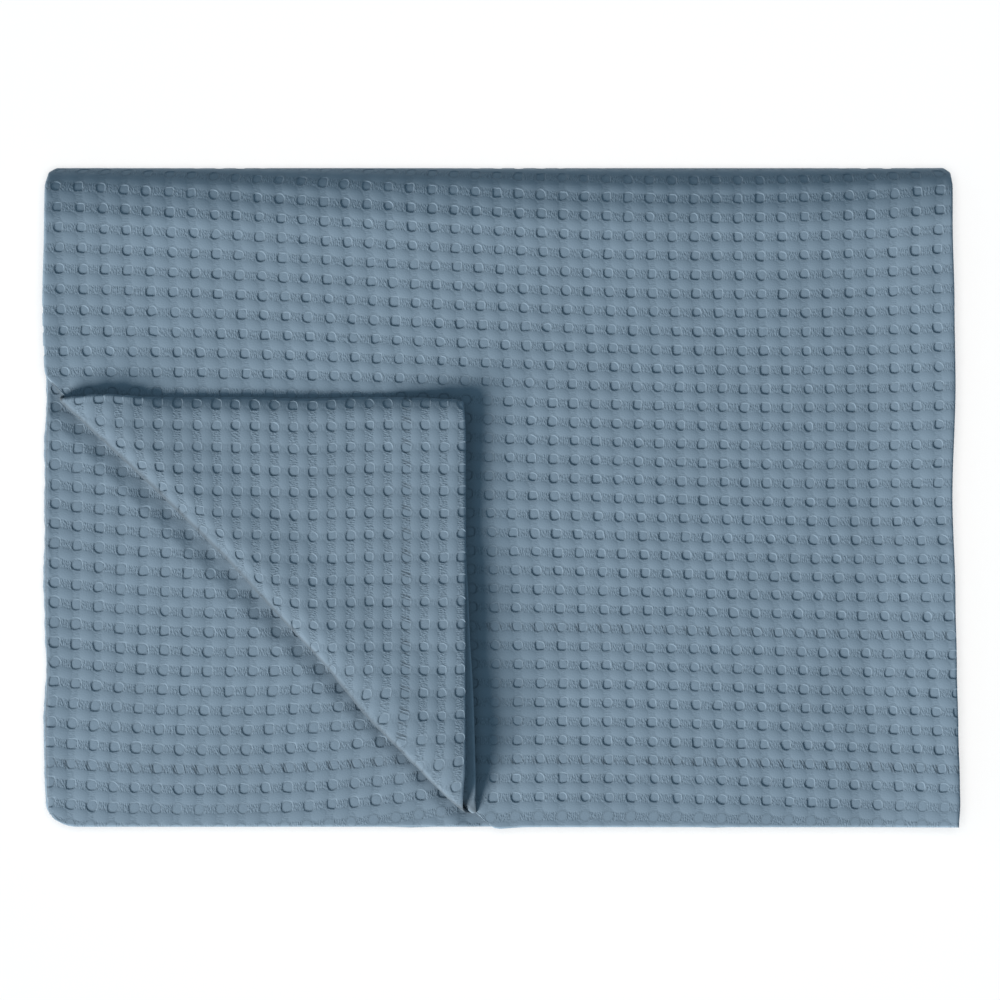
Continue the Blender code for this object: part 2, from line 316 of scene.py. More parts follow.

# The points of the inner plies, and how unevenly the edges of these plies lie.
ALONG_SPACING = 0.0300
DEPTH_SPACING = 0.0046
INNER_FOLD_CUTS = 8
EDGE_STEPS = (0.0004, 0.0012, 0.003, 0.007, 0.015, 0.03)   # from a fold at the side
STATION_GAP = 1e-4
RAGGED_STEP = 2.4          # how far the waves move on from ply to ply
RAGGED_OUT = 0.0004
RAGGED_SIDE = (0.1950, 0.2200)             # where it begins and is full, to both sides
RAGGED_FRONT = (-0.1350, -0.1600)
SIDE_WAVES = (
    # height, length, share of the step
    (0.00035, 0.0710, 1.0),
    (0.00030, 0.0330, 1.7),
    (0.00022, 0.0092, 1.0),
)
FRONT_WAVES = (
    (0.00045, 0.0830, 1.0),
    (0.00035, 0.0370, 1.3),
)


# ---------------------------------------------------------------- folding paths


def section_path():
    """The way of the sheet across the stack, from the side hem at the right."""
    steps, facing, start = [], 1.0, HALF_WIDTH
    for row, (_, heading, stand_back) in enumerate(SECTION):
        level = HALF_SECTION - PITCH * row
        last = row == len(SECTION) - 1
        end = heading * (HALF_WIDTH - stand_back - (0.0 if last else TIGHT))
        steps.append(dict(kind="flat", length=abs(end - start), start=start, heading=heading,
                          level=level, facing=facing))
        if not last:
            steps.append(dict(kind="turn", length=pi * TIGHT, centre=end, level=level - TIGHT,
                              radius=TIGHT, side=heading, first=1.0, outward=facing))
            facing = -facing
        start = end
    return steps


def pass_path():
    """The way of the four ply section along the stack, from the hems of its top pass."""
    outer = HALF_SECTION + 0.5 * THICK
    top, fourth, third, second = (outer + SECTION_PITCH * n for n in (3, 2, 1, 0))
    fold_y = HALF_DEPTH - GREAT - outer
    inner_y = fold_y - FOLD_STAND_BACK
    hem_fold_y = -HALF_DEPTH + PASS_INSET + SMALL + outer

    def flat(begin, end, level, facing):
        return dict(kind="flat", length=abs(end - begin), start=begin, level=level, facing=facing,
                    heading=1.0 if end > begin else -1.0)

    def turn(centre, level, radius, side, first, outward):
        return dict(kind="turn", length=pi * (radius + HALF_SECTION), centre=centre, level=level,
                    radius=radius, side=side, first=first, outward=outward)

    return [
        flat(-HALF_DEPTH, fold_y, top, 1.0),
        turn(fold_y, second + GREAT, GREAT, 1.0, 1.0, 1.0),
        flat(fold_y, hem_fold_y, second, -1.0),
        turn(hem_fold_y, second + SMALL, SMALL, -1.0, -1.0, 1.0),
        flat(hem_fold_y, inner_y, third, 1.0),
        turn(inner_y, third + SMALL, SMALL, 1.0, -1.0, -1.0),
        flat(inner_y, -HALF_DEPTH + PASS_INSET, fourth, -1.0),
    ]


def ends(path):
    """The length of cloth at the end of each step of a path."""
    return np.cumsum([step["length"] for step in path])


def walk(path, length):
    """Place, level, and the way the face looks, for lengths of cloth along a path."""
    place, level, look_out, look_up = (np.zeros_like(length) for _ in range(4))
    finish = ends(path)
    begin = finish - [step["length"] for step in path]
    index = np.clip(np.searchsorted(finish, length), 0, len(path) - 1)
    for n, step in enumerate(path):
        here = index == n
        gone = length[here] - begin[n]
        if step["kind"] == "flat":
            place[here] = step["start"] + step["heading"] * gone
            level[here] = step["level"]
            look_up[here] = step["facing"]
        else:
            angle = pi * gone / step["length"]
            reach, rise = step["side"] * np.sin(angle), step["first"] * np.cos(angle)
            place[here] = step["centre"] + step["radius"] * reach
            level[here] = step["level"] + step["radius"] * rise
            look_out[here] = step["outward"] * reach
            look_up[here] = step["outward"] * rise
    return place, level, look_out, look_up


SECTION_PATH = section_path()
PASS_PATH = pass_path()
PLY_ENDS = ends(SECTION_PATH)
PASS_ENDS = ends(PASS_PATH)
TOP_LEVEL = PASS_PATH[0]["level"] + HALF_SECTION


# ---------------------------------------------------------------- the crease


def smooth(share):
    share = np.clip(share, 0.0, 1.0)
    return share * share * (3 - 2 * share)


def between(value, low, high):
    """0 at low and 1 at high, softly, and the same past them; high may be the lower one."""
    return smooth((value - low) / (high - low))


def soft_ramp(share):
    """A straight rise from 0 to 1 with a soft beginning."""
    share = np.clip(share, 0.0, 1.0)
    soft = 0.3
    return np.where(share < soft, share * share / (2 * soft), share - 0.5 * soft) / (1 - 0.5 * soft)


def look_up(table, place):
    """The columns of a table for places in its first one, softly from row to row."""
    table = np.array(table)
    place = np.clip(place, table[0, 0], table[-1, 0])
    index = np.clip(np.searchsorted(table[:, 0], place) - 1, 0, len(table) - 2)
    low, high = table[index].T, table[index + 1].T
    share = smooth((place - low[0]) / (high[0] - low[0]))
    return [a + (b - a) * share for a, b in zip(low[1:], high[1:])]


def flap_stand(x, y, sag):
    """How much higher the flap lies than a settled one, less along its free edges."""
    stand, = look_up(STAND, x - y)
    edge_drop, edge_reach = FLAP_EDGE_DROOP
    hem_drop, hem_reach = HEM_DROOP
    edge = between(x, *FLAP_TIP_X) * np.clip(1 - (FLAP_EDGE_Y - y) / edge_reach, 0, 1) ** 3
    hem = np.clip(1 - (FLAP_HEM_X - x) / hem_reach, 0, 1) ** 2
    return stand * (1 - sag) - edge_drop * edge - hem_drop * hem


def flap_bulge(x, y):
    """How far the flap's far edge bulges near its tip."""
    bulge, middle, reach_x, reach_y = EDGE_BULGE
    return bulge * between(np.abs(x - middle), reach_x, 0.0) * between(y, FLAP_EDGE_Y - reach_y, FLAP_EDGE_Y)


class Crease:
    """The roll in which the corner of the two top plies is turned back."""

    def __init__(self):
        roll = (0.0, pi - FLAP_RISE, ROLL_RADIUS)
        crest = (0.0, FLAP_RISE + FLAP_FALL, CREST_RADIUS)
        peak = ROLL_RADIUS * (1 + cos(FLAP_RISE)) + CREST_RADIUS * (cos(FLAP_FALL) - cos(FLAP_RISE))
        run = (peak - SETTLE_RADIUS * (1 - cos(FLAP_FALL)) - FLAP_HEIGHT) / sin(FLAP_FALL)
        self.bends = (roll, crest, (run, -FLAP_FALL, SETTLE_RADIUS))
        self.start = CREASE_SUM * SLANT + ROLL_RADIUS + PITCH + 0.5 * THICK
        self.length = sum(run + abs(turn) * radius for run, turn, radius in self.bends)
        self.out_end = self.line(np.array([self.length]))[0][0]
        taken = 2 * self.start - (FLAP_HEM_X - HALF_DEPTH) / SLANT
        self.drawn = taken - (self.length + self.out_end + PITCH * pi)

    def line(self, gone, height=0.0):
        """The roll's middle line: out, up and heading, for cloth past the roll's start."""
        out, up, heading, base = (np.zeros_like(gone) for _ in range(4))
        left = gone
        for run, turn, radius in self.bends:
            straight = np.clip(left, 0, run)
            span = radius * abs(turn) - 0.5 * height * turn
            bend = turn * np.clip((left - run) / span, 0, 1)
            side = np.sign(turn)
            out = out + straight * np.cos(base) + side * radius * (np.sin(base + bend) - np.sin(base))
            up = up + straight * np.sin(base) + side * radius * (np.cos(base) - np.cos(base + bend))
            heading = heading + bend
            base = base + turn
            left = left - run - span
        return out - np.maximum(left, 0), up, heading

    def distance(self, x, y):
        """How far a flat point lies past the start of the roll, towards the corner."""
        return self.start - (x + y) * SLANT

    def heading_of(self, x, y, height):
        return self.line(self.distance(x, y) - self.drawn, height)[2]

    def lines(self, height, step):
        """Where the cloth bends, as x + y on the flat cloth."""
        gone, begin = [], 0.0
        for run, turn, radius in self.bends:
            span = radius * abs(turn) - 0.5 * height * turn
            count = max(BEND_CUTS, round(abs(turn) / step))
            gone += [begin + run + span * n / count for n in range(count + 1)]
            begin += run + span
        band = [-(self.drawn + DRAWN_BAND) * n / DRAWN_CUTS for n in range(1, DRAWN_CUTS + 1)]
        return [(self.start - self.drawn - g) / SLANT for g in sorted(set(band + gone))]

    def carry(self, x, y, z, shift):
        """Carry points of the two top plies, and a small shift from them, round the roll."""
        distance = self.distance(x, y)
        before = distance <= self.drawn
        inward = SLANT * self.drawn * soft_ramp((distance + DRAWN_BAND) / (self.drawn + DRAWN_BAND))
        height = z - TOP_LEVEL
        out, up, heading = self.line(distance - self.drawn, height)
        out_shift = -(shift[0] + shift[1]) * SLANT
        out = out + out_shift * np.cos(heading) - (height + shift[2]) * np.sin(heading)
        up = up + out_shift * np.sin(heading) + (height + shift[2]) * np.cos(heading)
        creep = 0.5 * height * heading
        side = (shift[0] - shift[1]) * SLANT + creep
        step_in = (distance - out) * SLANT
        turned_x = x + step_in + side * SLANT
        turned_y = y + step_in - side * SLANT
        flap = between(heading, *TURNING)
        hem = between(turned_x, FLAP_HEM_X - HEM_REACH, FLAP_HEM_X)
        top_ply = smooth(1 + height / PITCH)
        up = up + flap * flap_stand(turned_x, turned_y, INNER_SAG * hem * top_ply)
        inner = np.interp(turned_y, *np.array(INNER_HEM).T) * top_ply
        aside, bulge = flap * hem * inner, flap * flap_bulge(turned_x, turned_y)
        return (np.where(before, x + shift[0] + inward, turned_x + aside),
                np.where(before, y + shift[1] + inward, turned_y + bulge),
                np.where(before, z + shift[2], TOP_LEVEL + up))

    def inwards(self, x, y):
        """How far a point lies inwards of the crease, seen from above."""
        return (x + y - CREASE_SUM) * SLANT

    def flat_of_flap(self):
        """Sums that lead from the second ply's place in the flap back to its flat place."""
        past = self.out_end + self.drawn + self.length + 0.5 * PITCH * pi
        middle = (2 * self.start - past) * SLANT
        creep = -0.5 * PITCH * pi * SLANT
        return middle - creep, middle + creep


CREASE = Crease()


# ---------------------------------------------------------------- unevenness


def sway(x, y, flap):
    """How far the cloth lies from a straight stack, in its own plane."""
    left, right = look_up(OUTLINE, y)
    across = left + (right - left) * between(x, -HALF_WIDTH, HALF_WIDTH)
    near_x = np.clip(1 - (x + HALF_WIDTH) / CORNER_ROUND[0], 0, 1)
    near_y = np.clip(1 - (y + HALF_DEPTH) / CORNER_ROUND[1], 0, 1)
    share = np.where(flap, CORNER_ROUND_FLAP, 1.0)
    pull_x = share * CORNER_ROUND[0] * near_x * (1 - np.sqrt(1 - 0.5 * near_y ** 2))
    pull_y = share * CORNER_ROUND[1] * near_y * (1 - np.sqrt(1 - 0.5 * near_x ** 2))
    return across + pull_x, pull_y


def wander(x, y):
    """How far the crease, and the turned cloth beside it, lie from a straight crease."""
    inwards = np.interp(0.5 * (x - y + CREASE_SUM), *np.array(WANDER).T)
    return SLANT * inwards * between(np.abs(CREASE.inwards(x, y)), WANDER_REACH, 0.0)


def swell(x, y, z):
    """How far the cloth lies over or under a level stack's, less the lower it lies."""
    share = np.minimum(z / FULL_HEIGHT, 1.0)
    rise = sum(height * (1 + np.sin(2 * pi * (wave_x * x + wave_y * y) + start))
               for height, wave_x, wave_y, start in SWELLS)
    lift = sum(height * soft_ramp((x - begin) / (full - begin)) for height, begin, full in EDGE_RISES)
    drop, begin, full = TOP_DROOP
    depth, outwards, level, inwards = CREASE_DIP
    place = CREASE.inwards(x, y)
    near = np.clip(1 + place / outwards, 0, 1) * between(place, level + inwards, level)
    dip = np.where(z < TOP_LEVEL - 1.5 * PITCH, depth * near, 0.0)
    return (rise - dip) * share ** 2 + (lift - drop * between(y, begin, full)) * share


def fold(along, depth, offset):
    """Lay cloth on the stack's folds: metres from the side hem, from the hem, and out."""
    x, height, look_x, look_up = walk(SECTION_PATH, along)
    y_mid, z_mid, look_y, look_z = walk(PASS_PATH, depth)
    y = y_mid + height * look_y
    z = z_mid + height * look_z
    turned = (along <= PLY_ENDS[2]) & (depth <= PASS_ENDS[0])
    sway_x, sway_y = sway(x, y, turned)
    shift = (sway_x + offset * look_x, sway_y + offset * look_up * look_y, offset * look_up * look_z)
    carried = CREASE.carry(x, y, z, shift)
    x, y, z = (np.where(turned, a, b + c) for a, b, c in zip(carried, (x, y, z), shift))
    aside = np.where(turned, wander(x, y), 0.0)
    x, y = x + aside, y + aside
    return np.column_stack((x, y, z + swell(x, y, z)))


# ---------------------------------------------------------------- one cell


def select_verts(piece, wanted):
    """In edit mode, select the vertices whose place is wanted, and nothing else."""
    bpy.ops.mesh.select_all(action="DESELECT")
    shape = bmesh.from_edit_mesh(piece.data)
    for vert in shape.verts:
        vert.select = wanted(vert.co)
    shape.select_flush(True)
    bmesh.update_edit_mesh(piece.data)


def model_cell(points):
    """Model one cell of the weave by hand: a unit square with a ringed pit in its middle.

    The pit's rim has a radius of a quarter.  Each cell laid on the cloth gives its pit
    the real width and depth.
    """
    bpy.ops.object.select_all(action="DESELECT")
    bpy.ops.mesh.primitive_plane_add(size=1.0)
    cell = bpy.context.object
    bpy.ops.object.mode_set(mode="EDIT")
    bpy.ops.mesh.subdivide(number_cuts=points // 4 - 1)
    select_verts(cell, lambda co: max(abs(co.x), abs(co.y)) < CELL_EDGE)
    bpy.ops.mesh.delete(type="VERT")
    share = PIT_RINGS[0][0]
    bpy.ops.mesh.primitive_circle_add(vertices=points, radius=share * RIM)
    bpy.ops.mesh.select_all(action="SELECT")
    bpy.ops.mesh.bridge_edge_loops()
    for next_share, _ in PIT_RINGS[1:]:
        select_verts(cell, lambda co: co.xy.length < share * RIM * JUST_OVER)
        bpy.ops.mesh.extrude_region_move()
        bpy.ops.transform.resize(value=(next_share / share, next_share / share, 1.0))
        share = next_share
    select_verts(cell, lambda co: co.xy.length < share * RIM * JUST_OVER)
    bpy.ops.mesh.edge_face_add()
    bpy.ops.mesh.poke()
    bpy.ops.object.mode_set(mode="OBJECT")
    return cell


class Cell:
    """A modelled cell's points and faces, ready to be copied over the cloth."""

    def __init__(self, points):
        piece = model_cell(points)
        mesh = piece.data
        places = np.array([vert.co.xy for vert in mesh.vertices])
        edge = np.abs(places).max(axis=1) > CELL_EDGE
        order = np.argsort(np.arctan2(places[edge, 1], places[edge, 0]))
        self.points = points
        self.border = np.flatnonzero(edge)[order]
        self.inner = np.flatnonzero(~edge)
        self.places = places
        self.share = np.hypot(*places[self.inner].T) / RIM
        self.angle = np.arctan2(places[self.inner, 1], places[self.inner, 0])
        self.count = len(places)
        self.faces = {}
        for face in mesh.polygons:
            self.faces.setdefault(len(face.vertices), []).append(list(face.vertices))
        bpy.data.objects.remove(piece, do_unlink=True)
        bpy.data.meshes.remove(mesh)


# ---------------------------------------------------------------- the flat cloth


def drift(terms, column, row, reach, step_c, step_r):
    """Where cells lie on the flat cloth, and on past the photographed part in even steps."""
    low_c, high_c, low_r, high_r = reach
    held_c, held_r = np.clip(column, low_c, high_c), np.clip(row, low_r, high_r)
    across, along = step_c * (column - held_c), step_r * (row - held_r)
    for power_c, power_r, x, y in terms:
        term = 0.001 * (held_c / DRIFT_STEP) ** power_c * (held_r / DRIFT_STEP) ** power_r
        across, along = across + x * term, along + y * term
    return across, along


def top_lattice(column, row):
    return drift(TOP_DRIFT, column, row, TOP_CELLS, COLUMN_STEP, ROW_STEP)


def third_lattice(column, row):
    return drift(THIRD_DRIFT, column, row, THIRD_CELLS, COLUMN_STEP, ROW_STEP)


def flap_lattice(column, row):
    """The flap's cells, as columns across and rows along the flat second ply."""
    across, along = drift(FLAP_DRIFT, -row, -column, FLAP_CELLS, ROW_STEP, COLUMN_STEP)
    x_sum, y_sum = CREASE.flat_of_flap()
    return x_sum - along, y_sum - across


class FlatCloth:
    """A flat, oblong run of cells: each point's place and rise, and its place in the weave."""

    def __init__(self, cell, lattice, run, pits, pit):
        """run is the cells' columns and rows, and where the random draws start.  pits gives
        for the places of cells how deep their pits are: 0 for none, and below 0 for cells
        that nobody sees, which stay plain.  pit is a pit's radius and depth, and how far
        the cloth rises between the pits."""
        columns, rows, seed = run
        width, deep, rise = pit
        column, row = (g.ravel() for g in np.meshgrid(np.arange(*columns), np.arange(*rows)))
        centre = np.column_stack(lattice(column.astype(float), row.astype(float)))
        depth = pits(*centre.T)
        chance = np.random.default_rng(seed).uniform(-1.0, 1.0, (len(column), 5 + 2 * len(PIT_LOBES)))

        # The points on the edges of cells, each shared by the cells that it joins.
        quarter = cell.points // 4
        edge = np.rint(cell.places[cell.border] * quarter).astype(int)
        edge = edge + quarter * np.column_stack((column, row))[:, None]
        shared, ids = np.unique(edge.reshape(-1, 2), axis=0, return_inverse=True)
        ids = ids.reshape(len(column), -1)
        border_c, border_r = shared.T / quarter
        border_x, border_y = lattice(border_c, border_r)
        border_up = rise * (SIDE_RISE - 0.25 * (np.cos(2 * pi * border_c) + np.cos(2 * pi * border_r)))

        # The points of the pits, each pit a little different.
        who = np.flatnonzero(depth >= 0)
        larger, aside_c, aside_r, deeper, squarer, *lobes = chance[who].T[:, :, None]
        radius = 1 + PIT_SIZE_SPREAD * larger
        for (waves, amount), lobe, turn in zip(PIT_LOBES, lobes[::2], lobes[1::2]):
            radius = radius + amount * lobe * np.cos(waves * cell.angle + pi * turn)
        across, along = np.cos(cell.angle), np.sin(cell.angle)
        power = SQUARENESS[0] + (SQUARENESS[1] - SQUARENESS[0]) * np.abs(squarer)
        square = (np.abs(across) ** power + np.abs(along) ** power) ** (-1 / power)
        reach = width * cell.share * radius * square
        own_c, own_r = column[who, None], row[who, None]
        middle_x, middle_y = lattice(own_c + PIT_SHIFT * aside_c, own_r + PIT_SHIFT * aside_r)
        inner_x, inner_y = middle_x + reach * across, middle_y + reach * along
        inner_c = own_c + (inner_x - centre[who, :1]) / COLUMN_STEP
        inner_r = own_r + (inner_y - centre[who, 1:]) / ROW_STEP
        shares, depths = np.array(PIT_RINGS[::-1]).T
        profile = np.interp(cell.share, [0.0, *shares], [1 - FLOOR_RISE, *depths])
        inner_up = RIM_RISE * rise - deep * depth[who, None] * (1 + PIT_DEPTH_SPREAD * deeper) * profile
        floor_edge = np.tile(np.isclose(cell.share, PIT_RINGS[-1][0], atol=0.01), len(who))

        def stack(*pairs):
            return np.column_stack([np.concatenate((np.ravel(a), np.ravel(b))) for a, b in pairs])

        self.co = stack((border_x, inner_x), (border_y, inner_y), (border_up, inner_up))
        # Third value: 1 on the edge of a pit's floor.
        self.weave = stack((border_c, inner_c), (border_r, inner_r), (np.zeros(len(shared)), floor_edge))
        table = np.zeros((len(who), cell.count), int)
        table[:, cell.border] = ids[who]
        table[:, cell.inner] = len(shared) + np.arange(inner_x.size).reshape(inner_x.shape)
        self.faces = [tuple(face) for corners in cell.faces.values()
                      for face in table[:, np.array(corners)].reshape(-1, len(corners[0])).tolist()]
        self.faces += [tuple(face) for face in ids[depth < 0].tolist()]

    def shape(self):
        mesh = bpy.data.meshes.new("flat")
        mesh.from_pydata(self.co.tolist(), [], self.faces)
        weave = mesh.attributes.new("weave", "FLOAT_VECTOR", "POINT")
        weave.data.foreach_set("vector", self.weave.ravel())
        flat = bmesh.new()
        flat.from_mesh(mesh)
        bpy.data.meshes.remove(mesh)
        return flat


def cut(flat, line, away=False, only=None):
    """Cut flat cloth along a line (x, y, normal_x, normal_y), and throw away what is past it."""
    x, y, normal_x, normal_y = line
    faces = [face for face in flat.faces if only is None or only(face.calc_center_median())]
    geometry = dict.fromkeys(faces)    # a set's order would differ from run to run
    for face in faces:
        geometry.update(dict.fromkeys((*face.edges, *face.verts)))
    bmesh.ops.bisect_plane(flat, geom=list(geometry), dist=SNAP, plane_co=(x, y, 0.0),
                           plane_no=(normal_x, normal_y, 0.0), clear_outer=away)


def past(co, line):
    """How far points lie past a line."""
    x, y, normal_x, normal_y = line
    return ((co[:, 0] - x) * normal_x + (co[:, 1] - y) * normal_y) / np.hypot(normal_x, normal_y)


def plain_side(co, rim, lines):
    """Triangles for the cloth's plain side, inside its rim and bent along the same lines.

    They are worked out in millimetres, as the triangulation's own tolerance suits those.
    """
    used = np.unique(rim)
    index = {int(old): new for new, old in enumerate(used)}
    points = [Vector((1000 * co[old, :2]).tolist()) for old in used]
    edges = [(index[a], index[b]) for a, b in rim]

    def add_line(begin, finish):
        length = np.hypot(*(finish - begin))
        if length < 3 * RIM_CLEAR:
            return
        inset = RIM_CLEAR / length
        count = max(1, int(length / BACK_SPACING))
        first = len(points)
        for share in spread(inset, 1 - inset, count):
            points.append(Vector((1000 * (begin + (finish - begin) * share)).tolist()))
        edges.extend((first + n, first + n + 1) for n in range(count))

    for line in lines:
        near = co[np.abs(past(co, line)) < 2 * SNAP, :2]
        if len(near) > 1:
            side = near[:, 1] * line[2] - near[:, 0] * line[3]
            add_line(near[np.argmin(side)], near[np.argmax(side)])
    low, high = co[used, :2].min(axis=0), co[used, :2].max(axis=0)
    for x in np.arange(low[0] + 0.5 * BACK_SPACING, high[0], BACK_SPACING):
        for y in np.arange(low[1] + 0.5 * BACK_SPACING, high[1], BACK_SPACING):
            points.append(Vector((1000 * x, 1000 * y)))
    verts, _, faces, came_from, _, _ = delaunay_2d_cdt(points, edges, [], 1, 1e-4)
    rim_of = {int(used[n]): new for new, old in enumerate(came_from) for n in old if n < len(used)}
    return 0.001 * np.array([tuple(vert) for vert in verts]), faces, rim_of


def even_weave(x, y):
    """Places in the weave of cloth that has no pits."""
    return np.column_stack((x / COLUMN_STEP, y / ROW_STEP, np.zeros(len(x))))


def read_flat(flat):
    """A flat cloth's points, faces, rim and area.  The flat cloth itself is done with."""
    flat.verts.index_update()
    co = np.array([vert.co for vert in flat.verts])
    faces = [tuple(vert.index for vert in face.verts) for face in flat.faces]
    rim = [edge_order(edge) for edge in flat.edges if len(edge.link_faces) == 1]
    flat.free()
    return co, faces, rim, sum(face_area(co[list(face), :2]) for face in faces)


def close(name, front, back, rim, rim_of):
    """Join a cloth's two sides along the rim, as an object.  A side is its places, its
    faces, and its places in the weave and on the flat cloth."""
    places, (faces, back_faces), weave, cloth = zip(front, back)
    count = len(places[0])
    faces = faces + [tuple(n + count for n in reversed(face)) for face in back_faces]
    sides = [(b, a, rim_of[a] + count, rim_of[b] + count) for a, b in rim]
    mesh = bpy.data.meshes.new(name)
    mesh.from_pydata(np.vstack(places).tolist(), [], faces + sides)
    finish_mesh(mesh, np.vstack(weave), np.vstack(cloth), len(faces))
    piece = bpy.data.objects.new(name, mesh)
    bpy.context.scene.collection.objects.link(piece)
    return piece


def fold_piece(name, flat, hems, lines, along_of, painted_shade):
    """Fold flat cloth, give it its thickness and a plain side, and make it an object."""
    layer = flat.verts.layers.float_vector["weave"]
    weave = np.array([vert[layer] for vert in flat.verts])
    co, faces, rim, area = read_flat(flat)
    back, back_faces, rim_of = plain_side(co, rim, lines)

    def squeeze(places):
        near = [np.clip(1 + past(places, hem) / HEM_ROUND, 0, 1) for hem in hems]
        return HEM_SQUEEZE * THICK * np.max(near, axis=0) ** 2

    def laid(places, offset):
        return fold(along_of(places[:, 0]), places[:, 1] + HALF_DEPTH, offset)

    piece = close(name,
                  (laid(co, 0.5 * THICK + co[:, 2] - squeeze(co)), faces, weave, co[:, :2]),
                  (laid(back, squeeze(back) - 0.5 * THICK), back_faces, even_weave(*back.T), back),
                  rim, rim_of)
    # Painted shade: a point attribute by which the cotton's colour is darkened.
    if painted_shade:
        dark = piece.data.attributes.new("painted_shade", "FLOAT", "POINT")
        dark.data.foreach_set("value", painted_shade(*np.vstack((co[:, :2], back)).T))
    return piece, tuple(np.ptp(co[:, :2], axis=0)), area


def edge_order(edge):
    """The ends of an edge on the rim, in the order in which its one face runs."""
    for loop in edge.link_faces[0].loops:
        if loop.edge == edge:
            return loop.vert.index, loop.link_loop_next.vert.index
    raise RuntimeError("an edge isn't part of its own face")


def face_area(points):
    x, y = points.T
    return 0.5 * abs(np.dot(x, np.roll(y, 1)) - np.dot(y, np.roll(x, 1)))


def finish_mesh(mesh, weave, cloth, rim_begin):
    """Give a closed mesh its UV maps, outward faces and smooth shading, with crisp rims
    and crisp edges round the floors of its pits."""
    corners = np.zeros(len(mesh.loops), int)
    mesh.loops.foreach_get("vertex_index", corners)
    floor_edge = weave[:, 2] > 0.99
    for name, places in (("cloth", cloth), ("weave", weave[:, :2])):
        layer = mesh.uv_layers.new(name=name)
        layer.data.foreach_set("uv", places[corners].ravel())
    solid = bmesh.new()
    solid.from_mesh(mesh)
    solid.faces.ensure_lookup_table()
    for face in solid.faces:
        face.smooth = True
    for edge in solid.edges:
        edge.smooth = not all(floor_edge[vert.index] for vert in edge.verts)
    for face in solid.faces[rim_begin:]:
        for edge in face.edges:
            if any(other.index < rim_begin for other in edge.link_faces):
                edge.smooth = False
    bmesh.ops.recalc_face_normals(solid, faces=solid.faces[:])
    if solid.calc_volume(signed=True) < 0:
        bmesh.ops.reverse_faces(solid, faces=solid.faces[:])
    solid.to_mesh(mesh)
    solid.free()


# ---------------------------------------------------------------- making the pieces


def level_line(y, side):
    return (0.0, y, 0.0, side)


def upright_line(x, side):
    return (x, 0.0, side, 0.0)


def spread(begin, finish, count):
    return [begin + (finish - begin) * n / count for n in range(count + 1)]


def crease_lines(height):
    return [(0.5 * total, 0.5 * total, SLANT, SLANT) for total in CREASE.lines(height, ROLL_CUT)]


def side_bends(begin, finish):
    """Lines along a tight fold at the stack's side."""
    return [upright_line(x, 1.0) for x in spread(begin, finish, FOLD_CUTS)]


def depth_bends(step):
    """Lines along the wide fold that is a step of the pass path."""
    begin, finish = PASS_ENDS[step - 1:step + 1]
    return [level_line(y - HALF_DEPTH, 1.0) for y in spread(begin, finish, WIDE_FOLD_CUTS)]


def make_cloth(name, cell, lattice, pits, pit, hems, edges, bends, along_of,
               drop=None, near_crease=(), painted_shade=None):
    """Lay, trim, cut and fold one piece of cloth.

    hems are its free edges, edges the other lines that bound it, bends the lines that it
    folds along, near_crease those that only run near the turned corner.  drop says which
    faces a notch in the piece takes away, and painted_shade how much darker the cloth's
    colour is painted, as painted shade.
    """
    flat = FlatCloth(cell, lattice, RUNS[name], pits, pit).shape()
    for line in hems + edges:
        cut(flat, line, away=True)
    lines = list(bends)
    for x, y, normal_x, normal_y in hems:
        for inset in (share * HEM_ROUND for share in HEM_CUTS):
            lines.append((x - inset * normal_x, y - inset * normal_y, normal_x, normal_y))
    for line in lines:
        cut(flat, line)
    last_sum = CORNER_CUT_Y - HALF_WIDTH + NEAR_CREASE
    for line in near_crease:
        cut(flat, line, only=lambda co: co.x + co.y < last_sum and co.y < TURNED_PIECE[1])
    if drop:
        (line, where), gone = drop
        cut(flat, line, only=where)
        notch = [face for face in flat.faces if gone(face.calc_center_median())]
        bmesh.ops.delete(flat, geom=notch, context="FACES")
    return fold_piece(name, flat, hems, lines + list(near_crease), along_of, painted_shade)


def declare(piece, size, area, rests_on):
    """Give a piece of the blanket its cotton, attach it to the body that moves it, and hide the solid that
    it stands for.
    """
    piece.data.materials.append(cotton())
    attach(piece, BODY)
    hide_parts(NODE)
    min(area, size[0] * size[1])
    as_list(rests_on)


def wanted(depth, condition):
    """Pit depths: depth where the condition holds, and a plain cell elsewhere."""
    return np.where(condition, depth, -1.0)


def pressed(y, row_y):
    """What is left of the depth of the pits in a pressed row."""
    return np.where(np.abs(y - row_y) < PRESSED_REACH, 1 - PRESSED, 1.0)


def past_band(y, band):
    """Pit depths by the hem along the front edge."""
    return between(y, band - HALF_DEPTH, band + PIT_FADE - HALF_DEPTH) * pressed(y, STITCH_ROW_Y)


FRONT_HEM = level_line(-HALF_DEPTH, -1.0)
RIGHT_HEM = upright_line(HALF_WIDTH, 1.0)
FOLD_X = HALF_WIDTH - PLY_ENDS[0]          # where the top ply ends and its left fold begins
TURNED_X = FOLD_X - pi * TIGHT             # and where that fold ends
PLY_3_RIGHT = SECTION_PATH[3]["centre"]    # between these two folds the third ply lies
PLY_3_LEFT = SECTION_PATH[5]["centre"]
JOIN_Y = PASS_ENDS[1] + PAST_GREAT_FOLD - HALF_DEPTH


